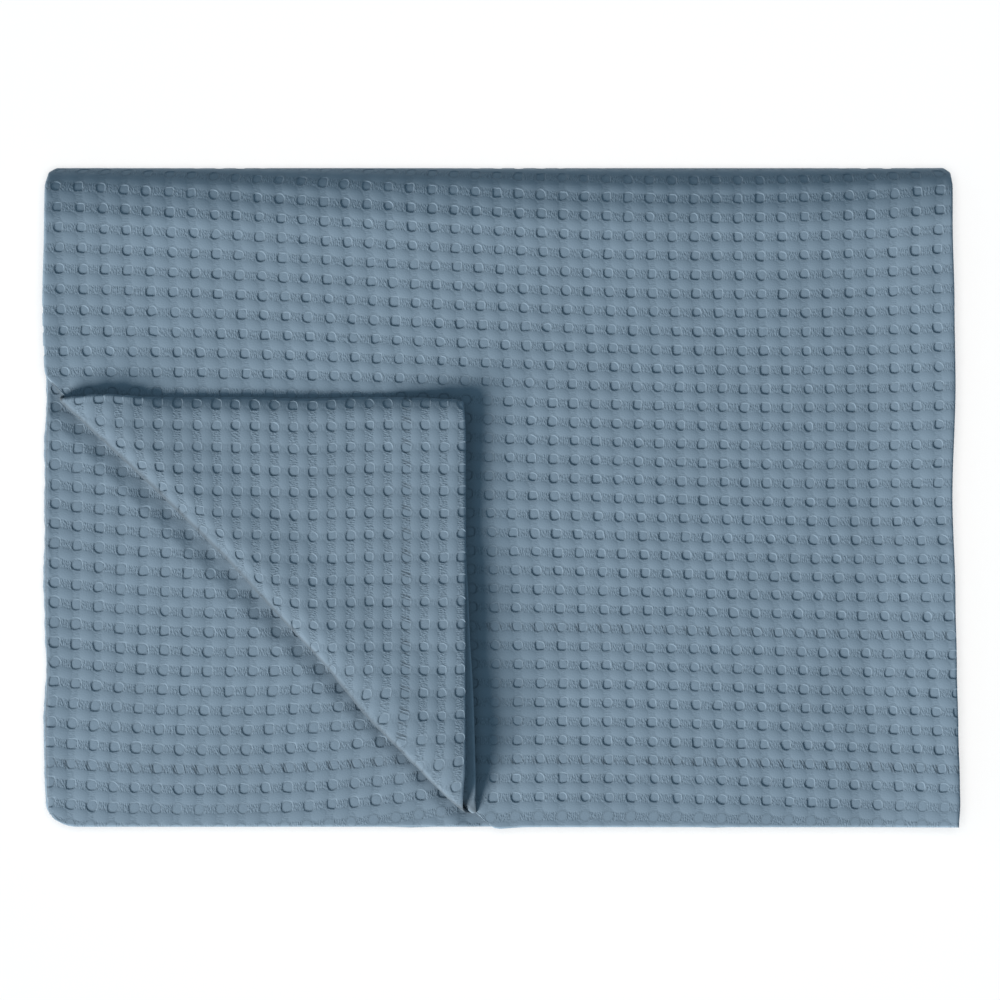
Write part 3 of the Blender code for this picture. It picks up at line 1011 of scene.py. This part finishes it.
def top_cloth(weave):
    """The top ply, with the left fold, the great fold and the hem of the turned corner."""

    def pits(x, y):
        depth = past_band(y, BAND) * np.where(x > FLAP_HEM_X, pressed(y, CREASED_ROW_Y), 1.0)
        depth = depth * between(CREASE.distance(x, y), -SHALLOW_BY_ROLL * DRAWN_BAND, -DRAWN_BAND)
        return wanted(depth, (x > FLAP_HEM_X - UNDER_HEM) | (y > CORNER_CUT_Y - UNDER_EDGE))

    # Painted shade on the turned top ply at the lower tip.
    def painted_shade(x, y):
        return TIP_PAINTED_SHADE * between(CREASE.heading_of(x, y, 0.0), *TURNING) * between(x, *TIP_PAINTED_SHADE_X)

    return make_cloth(
        "top_cloth", Cell(FINE_CELL), top_lattice, pits,
        pit=(0.5 * weave.pit_width, weave.pit_depth, weave.rise),
        hems=[RIGHT_HEM, FRONT_HEM],
        edges=[upright_line(TURNED_X - FOLD_STRIP, -1.0), level_line(JOIN_Y, 1.0)],
        bends=side_bends(FOLD_X, TURNED_X) + depth_bends(1),
        along_of=lambda x: HALF_WIDTH - x,
        drop=((level_line(CORNER_CUT_Y, 1.0), lambda co: co.x < FOLD_X),
              lambda co: co.x < FOLD_X and co.y < CORNER_CUT_Y),
        near_crease=crease_lines(0.0),
        painted_shade=painted_shade)


def turned_corner(weave):
    """The second ply, whose corner lies over the stack with its face up."""

    def pits(x, y):
        heading = CREASE.heading_of(x, y, -PITCH)
        depth = ROLL_PITS + (1 - ROLL_PITS) * between(heading, *ROLL_FLATTENS)
        return wanted(depth * pressed(y, STITCH_ROW_Y), heading > ROLL_SEEN)

    # Painted shade on the outside of the crease, and the whole turned corner painted a little darker.
    def painted_shade(x, y):
        return TURNED_CORNER_DARKENING + CREASE_PAINTED_SHADE * between(CREASE.heading_of(x, y, -PITCH), *CREASE_PAINTED_SHADE_TURN)

    return make_cloth(
        "turned_corner", Cell(FINE_CELL), flap_lattice, pits,
        pit=(0.5 * weave.pit_width, weave.pit_depth, weave.rise),
        hems=[FRONT_HEM],
        edges=[upright_line(TURNED_X, -1.0), upright_line(TURNED_PIECE[0], 1.0),
               level_line(TURNED_PIECE[1], 1.0)],
        bends=side_bends(TURNED_X, FOLD_X),
        along_of=lambda x: PLY_ENDS[1] + (x - FOLD_X),
        drop=((level_line(CORNER_CUT_Y, 1.0), lambda co: co.x < FOLD_X + 2 * FOLD_STRIP),
              lambda co: co.x < FOLD_X and co.y > CORNER_CUT_Y),
        near_crease=crease_lines(-PITCH),
        painted_shade=painted_shade)


def third_ply(weave):
    """The third ply, which shows where the corner is turned back."""
    turned_x = PLY_3_LEFT - pi * TIGHT
    return make_cloth(
        "third_ply", Cell(FINE_CELL), third_lattice,
        lambda x, y: wanted(past_band(y, THIRD_BAND), x + y < CREASE_SUM + UNDER_EDGE),
        pit=(0.5 * weave.third_pit_width, weave.third_pit_depth, weave.rise),
        hems=[FRONT_HEM],
        edges=[upright_line(turned_x - FOLD_STRIP, -1.0), upright_line(THIRD_PIECE[0], 1.0),
               level_line(THIRD_PIECE[1], 1.0)],
        bends=side_bends(turned_x, PLY_3_LEFT),
        along_of=lambda x: PLY_ENDS[3] + (PLY_3_RIGHT - x),
        # Painted shade on the third ply's left fold.
        painted_shade=lambda x, y: THIRD_FOLD_PAINTED_SHADE * smooth((PLY_3_LEFT - x) / TIGHT))


def underside(weave):
    """The bottom ply, round the fold at the hems and on into the stack."""
    return make_cloth(
        "underside", Cell(PLAIN_CELL), top_lattice, lambda x, y: np.ones_like(x),
        pit=(0.5 * weave.pit_width, UNDERSIDE_PITS * weave.pit_depth, weave.rise),
        hems=[RIGHT_HEM],
        edges=[upright_line(TURNED_X - FOLD_STRIP, -1.0), level_line(JOIN_Y, -1.0),
               level_line(PASS_ENDS[3] + UNDER_REACH - HALF_DEPTH, 1.0)],
        bends=side_bends(TURNED_X, FOLD_X) + depth_bends(3),
        along_of=lambda x: HALF_WIDTH - x)


# Where the inner plies meet the pieces that show: along the sheet, and down it.
ALONG_SEAMS = (
    PLY_ENDS[1] + FOLD_STRIP,
    PLY_ENDS[1] + TURNED_PIECE[0] - FOLD_X,
    PLY_ENDS[3] + PLY_3_RIGHT - THIRD_PIECE[0],
    PLY_ENDS[5] + FOLD_STRIP,
)
DEPTH_SEAMS = (
    TURNED_PIECE[1] + HALF_DEPTH,
    THIRD_PIECE[1] + HALF_DEPTH,
    PASS_ENDS[3] + UNDER_REACH,
)


def inner_plies(_):
    """All the plies that show only at the edges of the stack."""
    alongs = inner_stations(SECTION_PATH, ALONG_SEAMS, ALONG_SPACING, EDGE_STEPS)
    depths = inner_stations(PASS_PATH, DEPTH_SEAMS, DEPTH_SPACING, ())
    a, d = np.meshgrid(0.5 * (alongs[1:] + alongs[:-1]), 0.5 * (depths[1:] + depths[:-1]))
    top = (a < ALONG_SEAMS[0]) & (d < DEPTH_SEAMS[2])
    second = (a < ALONG_SEAMS[1]) & (d < DEPTH_SEAMS[0])
    third = (a > ALONG_SEAMS[2]) & (a < ALONG_SEAMS[3]) & (d < DEPTH_SEAMS[1])
    flat = bmesh.new()
    grid = [[flat.verts.new((x, y, 0.0)) for x in alongs] for y in depths - HALF_DEPTH]
    for row, low, high in zip(~(top | second | third), grid, grid[1:]):
        for n in np.flatnonzero(row):
            flat.faces.new((low[n], low[n + 1], high[n + 1], high[n]))
    bmesh.ops.delete(flat, geom=[vert for vert in flat.verts if not vert.link_faces], context="VERTS")
    co, faces, rim, area = read_flat(flat)
    along, depth = co[:, 0], co[:, 1] + HALF_DEPTH

    def side(offset):
        place = fold(along, depth, np.full(len(co), offset))
        return place + ragged(place, along, depth), faces, even_weave(along, depth), co[:, :2]

    piece = close("inner_plies", side(0.5 * THICK), side(-0.5 * THICK), rim, range(len(co)))
    return piece, (float(PLY_ENDS[-1]), float(PASS_ENDS[-1])), area


def inner_stations(path, seams, spacing, edge_steps):
    """Lengths of cloth at which the inner plies have points."""
    stations, begin = list(seams), 0.0
    for step, finish in zip(path, ends(path)):
        count = INNER_FOLD_CUTS
        if step["kind"] == "flat":
            count = max(1, round((finish - begin) / spacing))
            stations += [place for inset in edge_steps for place in (begin + inset, finish - inset)]
        stations += spread(begin, finish, count)
        begin = finish
    kept = sorted(set(round(float(station), 6) for station in stations))
    return np.array([kept[0]] + [b for a, b in zip(kept, kept[1:]) if b - a > STATION_GAP])


def ragged(place, along, depth):
    """How unevenly the edges of the inner plies lie: each ply wanders in its own way."""
    start = RAGGED_STEP * (np.searchsorted(PLY_ENDS, along) + 7 * np.searchsorted(PASS_ENDS, depth))
    x, y = place[:, 0], place[:, 1]

    def waves(table, value):
        return sum(height * np.sin(2 * pi * value / length + share * start)
                   for height, length, share in table)

    shift = np.zeros_like(place)
    shift[:, 0] = -np.sign(x) * between(np.abs(x), *RAGGED_SIDE) * (RAGGED_OUT + waves(SIDE_WAVES, y))
    shift[:, 1] = between(y, *RAGGED_FRONT) * (RAGGED_OUT + waves(FRONT_WAVES, x))
    return shift


# ---------------------------------------------------------------- the finish


# Places within a cell run from -0.5 to 0.5 each way.
PIT_REACH = (0.23, 0.265)              # of a pit, across and along its cell
FLOAT_REACH = (0.38, 0.325)            # of the smooth float between four pits
MARK_SLANT = 0.34                      # of the thread marks beside a pit
MARKS = (                              # place beside a pit, reach, strength
    (-0.30, 0.055, 1.0),
    (-0.17, 0.045, 1.0),
    (0.29, 0.050, 0.6),
)
# How much each part of the weave lightens the yarn's colour or, below 0, darkens it.  The floats, the bands
# and rings round the pits and the front hem hold painted light and shade.
CLOUD_TONE = 0.035
YARN_TONE = 0.07
RIB_TONE = 0.15
# painted shade: the bands beside the pits are darker
ROW_BAND_PAINTED_SHADE = -0.035                      # the bands of ribs beside the pits
# painted light: the raised floats are lighter
FLOAT_PAINTED_LIGHT = 0.05
# painted shade: the ring round a pit is darker
PIT_RING_PAINTED_SHADE = -0.12                      # the ring round a pit
PIT_TONE = 0.045
THREAD_TONE = -0.30
# painted highlight along the rounded front edge of the hem
HEM_PAINTED_HIGHLIGHT = 0.16
HEM_LIT = (0.0016, 0.0005)             # from the front edge: where it begins and is full


class Nodes:
    """Short ways to add nodes to a material.  A value is a number or a node's output."""

    def __init__(self, tree):
        self.tree = tree

    def add(self, kind, inputs=(), **settings):
        node = self.tree.nodes.new(kind)
        for name, value in settings.items():
            setattr(node, name, value)
        for name, value in dict(inputs).items():
            if isinstance(value, bpy.types.NodeSocket):
                self.tree.links.new(value, node.inputs[name])
            else:
                node.inputs[name].default_value = value
        return node

    def math(self, operation, a, b=0.0, c=0.0):
        return self.add("ShaderNodeMath", {0: a, 1: b, 2: c}, operation=operation).outputs[0]

    def times(self, *values):
        return reduce(lambda a, b: self.math("MULTIPLY", a, b), values)

    def plus(self, *values):
        return reduce(lambda a, b: self.math("ADD", a, b), values)

    def rest(self, value):
        """One less the value."""
        return self.math("SUBTRACT", 1.0, value)

    def ramp(self, value, low, high):
        """0 below low and 1 above high, softly; turned round where low is above high."""
        return self.add("ShaderNodeMapRange", {"Value": value, "From Min": low, "From Max": high},
                        interpolation_type="SMOOTHSTEP").outputs["Result"]

    def near(self, value, place, reach):
        """1 where a value is within reach of a place, softly."""
        gap = self.math("ABSOLUTE", self.math("SUBTRACT", value, place))
        return self.ramp(gap, reach, 0.5 * reach)

    def centred(self, value, shift):
        """The part of a coordinate within its cell, from -0.5 to 0.5."""
        return self.math("SUBTRACT", self.math("FRACT", self.math("ADD", value, shift)), 0.5)

    def length(self, a, b, reach):
        """How far a place is from its cell's middle, as a share of the reach each way."""
        a, b = self.times(a, 1 / reach[0]), self.times(b, 1 / reach[1])
        return self.math("SQRT", self.math("MULTIPLY_ADD", a, a, self.times(b, b)))

    def grain(self, places, scale_x, scale_y, detail=1.0):
        """Noise from -1 to 1, with so many waves per metre each way."""
        stretched = self.add("ShaderNodeVectorMath", {0: places, 1: (scale_x, scale_y, 1.0)},
                             operation="MULTIPLY").outputs[0]
        noise = self.add("ShaderNodeTexNoise", {"Vector": stretched, "Scale": 1.0, "Detail": detail})
        return self.add("ShaderNodeMapRange", {"Value": noise.outputs[0], "From Min": 0.3, "From Max": 0.7,
                                               "To Min": -1.0, "To Max": 1.0}).outputs["Result"]


def cotton():
    """The cotton: blue-grey yarn, with the ribs and floats of its weave in relief."""
    known = bpy.data.materials.get("cotton_weave")
    if known:
        return known
    look = bpy.context.scene.blanket_look
    material = bpy.data.materials.new("cotton_weave")
    material.use_nodes = True
    shader = material.node_tree.nodes["Principled BSDF"]
    shader.inputs["Roughness"].default_value = look.roughness
    shader.inputs["Specular IOR Level"].default_value = 0.25
    shader.inputs["Sheen Weight"].default_value = look.sheen
    shader.inputs["Sheen Roughness"].default_value = 0.5

    nodes = Nodes(material.node_tree)
    plus, times, ramp, near, rest = nodes.plus, nodes.times, nodes.ramp, nodes.near, nodes.rest
    weave_map = nodes.add("ShaderNodeUVMap", uv_map="weave").outputs[0]
    cloth_map = nodes.add("ShaderNodeUVMap", uv_map="cloth").outputs[0]
    column, row, _ = nodes.add("ShaderNodeSeparateXYZ", {0: weave_map}).outputs
    x, y, _ = nodes.add("ShaderNodeSeparateXYZ", {0: cloth_map}).outputs
    pit_c, pit_r = nodes.centred(column, 0.5), nodes.centred(row, 0.5)

    from_pit = nodes.length(pit_c, pit_r, PIT_REACH)
    outside = ramp(from_pit, 0.96, 1.12)
    # Painted shade round each pit, strongest at its rim and wall.
    pit_ring_shade = times(ramp(from_pit, 1.50, 1.0), ramp(from_pit, 0.80, 0.92))
    from_float = nodes.length(nodes.centred(column, 0.0), nodes.centred(row, 0.0), FLOAT_REACH)
    pillow = plus(times(ramp(from_float, 1.08, 0.15), 0.70), times(ramp(from_float, 1.0, 0.66), 0.30))
    open_band = rest(times(pillow, 0.9))
    row_band = times(ramp(nodes.math("ABSOLUTE", pit_r), 0.30, 0.16), outside, open_band)
    column_band = times(ramp(nodes.math("ABSOLUTE", pit_c), 0.22, 0.12), outside, open_band)

    def ribs(along, scale_x, scale_y):
        """Ribs side by side, unevenly: each bends its own way, and some fade."""
        bend = times(nodes.grain(cloth_map, 420.0, 420.0), 3.4)
        turn = nodes.math("MULTIPLY_ADD", along, 2 * pi / look.rib_pitch, bend)
        streaks = nodes.grain(cloth_map, scale_x, scale_y)
        return plus(times(nodes.math("SINE", turn), 0.35), times(streaks, 0.8))

    all_ribs = plus(times(ribs(x, 1150.0, 700.0), row_band), times(ribs(y, 500.0, 900.0), column_band, 0.35))
    yarn = nodes.grain(cloth_map, 1500.0, 1500.0, 2.0)

    # Thread marks beside the pits of the stitched row, and of the row pressed by a fold.
    right_half = ramp(x, FLAP_HEM_X, FLAP_HEM_X + 0.004)
    rows = plus(near(y, STITCH_ROW_Y, 1.2 * PRESSED_REACH),
                times(near(y, CREASED_ROW_Y, 1.2 * PRESSED_REACH), right_half, 0.7))
    uneven = plus(pit_c, times(nodes.grain(cloth_map, 90.0, 90.0), 0.04))
    slanted = nodes.math("MULTIPLY_ADD", pit_r, MARK_SLANT, uneven)
    marks = plus(*(times(near(slanted, place, reach), strength) for place, reach, strength in MARKS))
    thread = times(marks, near(pit_r, 0.0, 0.34), rows)

    # The bump's heights are in millimetres.
    height = plus(times(pillow, 1000 * look.float_height), times(all_ribs, 1000 * look.rib_height),
                  times(yarn, 1000 * look.yarn_height), times(thread, -1000 * look.rib_height))
    bump = nodes.add("ShaderNodeBump", {"Height": height, "Distance": 0.001, "Strength": 1.0})
    nodes.tree.links.new(bump.outputs[0], shader.inputs["Normal"])

    # The tone holds painted light and shade too: lighter floats, darker bands and rings round the pits, and
    # a painted highlight along the front hem.
    tone = plus(1.0,
                times(nodes.grain(cloth_map, 26.0, 26.0, 3.0), CLOUD_TONE),
                times(yarn, rest(times(pillow, 0.75)), YARN_TONE),
                times(all_ribs, RIB_TONE),
                times(row_band, ROW_BAND_PAINTED_SHADE),
                times(pillow, FLOAT_PAINTED_LIGHT),
                times(pit_ring_shade, PIT_RING_PAINTED_SHADE),
                times(rest(outside), PIT_TONE),
                times(thread, THREAD_TONE),
                times(ramp(plus(y, HALF_DEPTH), *HEM_LIT), HEM_PAINTED_HIGHLIGHT))
    # Painted shade: the colour is darkened by the pieces' painted shade attribute.
    painted_shade = nodes.add("ShaderNodeAttribute", attribute_name="painted_shade").outputs["Fac"]
    scale = {0: tuple(look.colour), "Scale": times(tone, rest(painted_shade))}
    colour = nodes.add("ShaderNodeVectorMath", scale, operation="SCALE")
    nodes.tree.links.new(colour.outputs[0], shader.inputs["Base Color"])
    return material


# ---------------------------------------------------------------- the stage


# The photograph's frame, at the height of the top ply.
VIEW_WIDTH = 0.4918
VIEW_MIDDLE = (-0.0005, -0.0015)
CAMERA_HEIGHT = 3.0
SENSOR = 36.0              # millimetres
CLIP_END = 20.0
KEY_REACH = 8.0            # from the blanket to the soft light
FLOOR_RADIUS = 3.0
FLOOR_DROP = 0.0003        # of the floor under the blanket
FLOOR_TONE = 0.9
FLOOR_COLOUR = (1.0, 0.93, 0.87)           # of the floor's lights, against the fill's
FLOOR_LIGHT_HEIGHT = 3.0
WASH_SIZE = 3.0
EDGE_SIZE = 1.1


def studio(settings):
    """A pale floor, a big soft light from the lower left, and a camera straight above.

    The soft light falls on the cloth only.  The floor has two lights of its own, and the
    cloth shades it from the second one only.
    """
    scene = bpy.context.scene
    bpy.ops.object.select_all(action="DESELECT")
    bpy.ops.mesh.primitive_circle_add(vertices=64, radius=FLOOR_RADIUS, fill_type="NGON",
                                      location=(0, 0, -FLOOR_DROP))
    floor = bpy.context.object
    bpy.ops.object.transform_apply()
    floor.name = "floor"
    paper = bpy.data.materials.new("floor_paper")
    paper.use_nodes = True
    shader = paper.node_tree.nodes["Principled BSDF"]
    shader.inputs["Base Color"].default_value = (FLOOR_TONE, FLOOR_TONE, FLOOR_TONE, 1.0)
    shader.inputs["Roughness"].default_value = 0.9
    shader.inputs["Specular IOR Level"].default_value = 0.1
    floor.data.materials.append(paper)

    world = bpy.data.worlds.new("studio")
    world.use_nodes = True
    sky = world.node_tree.nodes["Background"]
    sky.inputs["Color"].default_value = (*settings.fill_colour, 1.0)
    sky.inputs["Strength"].default_value = settings.fill
    scene.world = world

    cloth = bpy.data.collections.new("lit_cloth")
    for piece in scene.objects:
        if piece.type == "MESH" and piece != floor:
            cloth.objects.link(piece)
    ground = bpy.data.collections.new("lit_floor")
    ground.objects.link(floor)

    side = cos(settings.key_height) * KEY_REACH * SLANT
    key_place = (-side, -side, sin(settings.key_height) * KEY_REACH)
    overhead = (0.0, 0.0, FLOOR_LIGHT_HEIGHT)
    add_light("key", key_place, settings.key, settings.key_size, cloth)
    wash = add_light("floor_wash", overhead, settings.floor_light, WASH_SIZE, ground)
    wash.light_linking.blocker_collection = ground
    edge = add_light("floor_edge", overhead, settings.floor_edge, EDGE_SIZE, ground)
    wash.data.color = edge.data.color = FLOOR_COLOUR

    camera = bpy.data.objects.new("camera", bpy.data.cameras.new("camera"))
    scene.collection.objects.link(camera)
    camera.location = (*VIEW_MIDDLE, FULL_HEIGHT + CAMERA_HEIGHT)
    camera.data.sensor_width = SENSOR
    camera.data.lens = SENSOR * CAMERA_HEIGHT / VIEW_WIDTH
    camera.data.clip_end = CLIP_END
    scene.camera = camera
    scene.view_settings.view_transform = "Standard"


def add_light(name, place, strength, size, receivers):
    """A round area light that looks at the blanket and lights only the receivers."""
    data = bpy.data.lights.new(name, "AREA")
    data.shape = "DISK"
    data.size = size
    data.energy = strength
    light = bpy.data.objects.new(name, data)
    bpy.context.scene.collection.objects.link(light)
    light.location = place
    light.rotation_euler = Vector(place).to_track_quat("Z", "Y").to_euler()
    light.light_linking.receiver_collection = receivers
    return light


# ---------------------------------------------------------------- settings and operators


class BlanketWeave(PropertyGroup):
    """Sizes of the weave."""

    pit_width: FloatProperty(name="Pit width", description="Across a pit of the weave", default=0.0047,
                             min=0.001, unit="LENGTH", precision=5)
    pit_depth: FloatProperty(name="Pit depth", description="From the rim of a pit to its floor",
                             default=0.00041, min=0.0, unit="LENGTH", precision=5)
    third_pit_width: FloatProperty(name="Third ply's pit width", description="Across a pit of the ply that "
                                   "shows under the turned corner", default=0.0054, min=0.001, unit="LENGTH",
                                   precision=5)
    third_pit_depth: FloatProperty(name="Third ply's pit depth", description="The pits there are shallower",
                                   default=0.00032, min=0.0, unit="LENGTH", precision=5)
    rise: FloatProperty(name="Rise", description="Of the cloth between four pits", default=0.00010, min=0.0,
                        unit="LENGTH", precision=5)


class BlanketLook(PropertyGroup):
    """Colour and yarn of the cotton."""

    colour: FloatVectorProperty(name="Colour", description="Of the yarn", default=(0.208, 0.270, 0.325),
                                size=3, min=0.0, max=1.0, subtype="COLOR")
    roughness: FloatProperty(name="Roughness", description="Of the yarn", default=0.95, min=0.0, max=1.0,
                             subtype="FACTOR")
    sheen: FloatProperty(name="Sheen", description="Of the soft fibres", default=0.10, min=0.0, max=1.0,
                         subtype="FACTOR")
    rib_pitch: FloatProperty(name="Rib pitch", description="From one rib between the pits to the next",
                             default=0.00100, min=0.0001, unit="LENGTH", precision=5)
    rib_height: FloatProperty(name="Rib height", description="Of the ribs between the pits", default=0.00008,
                              min=0.0, unit="LENGTH", precision=5)
    float_height: FloatProperty(name="Float height", description="Of the smooth floats between four pits",
                                default=0.00016, min=0.0, unit="LENGTH", precision=5)
    yarn_height: FloatProperty(name="Yarn height", description="Of single yarns", default=0.00001, min=0.0,
                               unit="LENGTH", precision=5)


class BlanketStage(PropertyGroup):
    """Light round the blanket."""

    key: FloatProperty(name="Key light", description="Strength of the soft light from the lower left",
                       default=1145.0, min=0.0, unit="POWER")
    key_size: FloatProperty(name="Key size", description="Across the soft light", default=3.8, min=0.01,
                            unit="LENGTH")
    key_height: FloatProperty(name="Key height", description="Angle of the soft light over the floor",
                              default=radians(22.0), min=0.05, max=1.5, unit="ROTATION")
    fill: FloatProperty(name="Fill", description="Strength of the light from all around",
                        default=0.305, min=0.0)
    fill_colour: FloatVectorProperty(name="Fill colour", description="Of the light from all around",
                                     default=(0.57, 0.85, 1.06), size=3, min=0.0, max=2.0, subtype="COLOR")
    floor_light: FloatProperty(name="Floor light", default=63.0, min=0.0, unit="POWER",
                               description="Strength of the light that only the floor gets")
    floor_edge: FloatProperty(name="Floor edge light", default=35.0, min=0.0, unit="POWER",
                              description="The part that the blanket keeps off the floor by its edges")


def run(maker, rests_on):
    piece, size, area = maker(bpy.context.scene.blanket_weave)
    if not piece.data.polygons:
        raise RuntimeError(f"{piece.name} has no faces")
    declare(piece, size, area, rests_on)
    return {"FINISHED"}


class BLANKET_OT_top_cloth(Operator):
    """Make the top ply and the great fold"""

    bl_idname = "blanket.top_cloth"
    bl_label = "Top cloth"
    bl_options = {"REGISTER", "UNDO"}

    def execute(self, context):
        return run(top_cloth, ["inner_plies"])


class BLANKET_OT_turned_corner(Operator):
    """Make the corner that is turned back over the stack"""

    bl_idname = "blanket.turned_corner"
    bl_label = "Turned corner"
    bl_options = {"REGISTER", "UNDO"}

    def execute(self, context):
        return run(turned_corner, ["top_cloth"])


class BLANKET_OT_third_ply(Operator):
    """Make the ply that shows under the turned corner"""

    bl_idname = "blanket.third_ply"
    bl_label = "Third ply"
    bl_options = {"REGISTER", "UNDO"}

    def execute(self, context):
        return run(third_ply, ["inner_plies"])


class BLANKET_OT_underside(Operator):
    """Make the bottom ply and the fold at the hems"""

    bl_idname = "blanket.underside"
    bl_label = "Underside"
    bl_options = {"REGISTER", "UNDO"}

    def execute(self, context):
        return run(underside, [])


class BLANKET_OT_inner_plies(Operator):
    """Make the plies that show at the edges of the stack"""

    bl_idname = "blanket.inner_plies"
    bl_label = "Inner plies"
    bl_options = {"REGISTER", "UNDO"}

    def execute(self, context):
        return run(inner_plies, ["underside"])


class BLANKET_OT_stage(Operator):
    """Make the floor, the lights and the camera"""

    bl_idname = "blanket.stage"
    bl_label = "Stage"
    bl_options = {"REGISTER", "UNDO"}

    def execute(self, context):
        studio(context.scene.blanket_stage)
        return {"FINISHED"}


OPERATORS = (
    BLANKET_OT_underside,
    BLANKET_OT_inner_plies,
    BLANKET_OT_third_ply,
    BLANKET_OT_top_cloth,
    BLANKET_OT_turned_corner,
    BLANKET_OT_stage,
)


class BLANKET_PT_panel(Panel):
    """The blanket's sizes and pieces"""

    bl_label = "Blanket"
    bl_space_type = "VIEW_3D"
    bl_region_type = "UI"
    bl_category = "Blanket"

    def draw(self, context):
        layout = self.layout
        for name in ("blanket_weave", "blanket_look", "blanket_stage"):
            group = getattr(context.scene, name)
            box = layout.box()
            for key in group.__annotations__:
                box.prop(group, key)
        for operator in OPERATORS:
            layout.operator(operator.bl_idname)


GROUPS = (
    ("blanket_weave", BlanketWeave),
    ("blanket_look", BlanketLook),
    ("blanket_stage", BlanketStage),
)


def register():
    for name, group in GROUPS:
        bpy.utils.register_class(group)
        setattr(bpy.types.Scene, name, PointerProperty(type=group))
    for item in (*OPERATORS, BLANKET_PT_panel):
        bpy.utils.register_class(item)


def unregister():
    for item in reversed((*OPERATORS, BLANKET_PT_panel)):
        bpy.utils.unregister_class(item)
    for name, group in reversed(GROUPS):
        delattr(bpy.types.Scene, name)
        bpy.utils.unregister_class(group)


def main():
    register()
    bpy.ops.blanket.underside()
    bpy.ops.blanket.inner_plies()
    bpy.ops.blanket.third_ply()
    bpy.ops.blanket.top_cloth()
    bpy.ops.blanket.turned_corner()
    bpy.ops.blanket.stage()


if __name__ == "__main__":
    main()
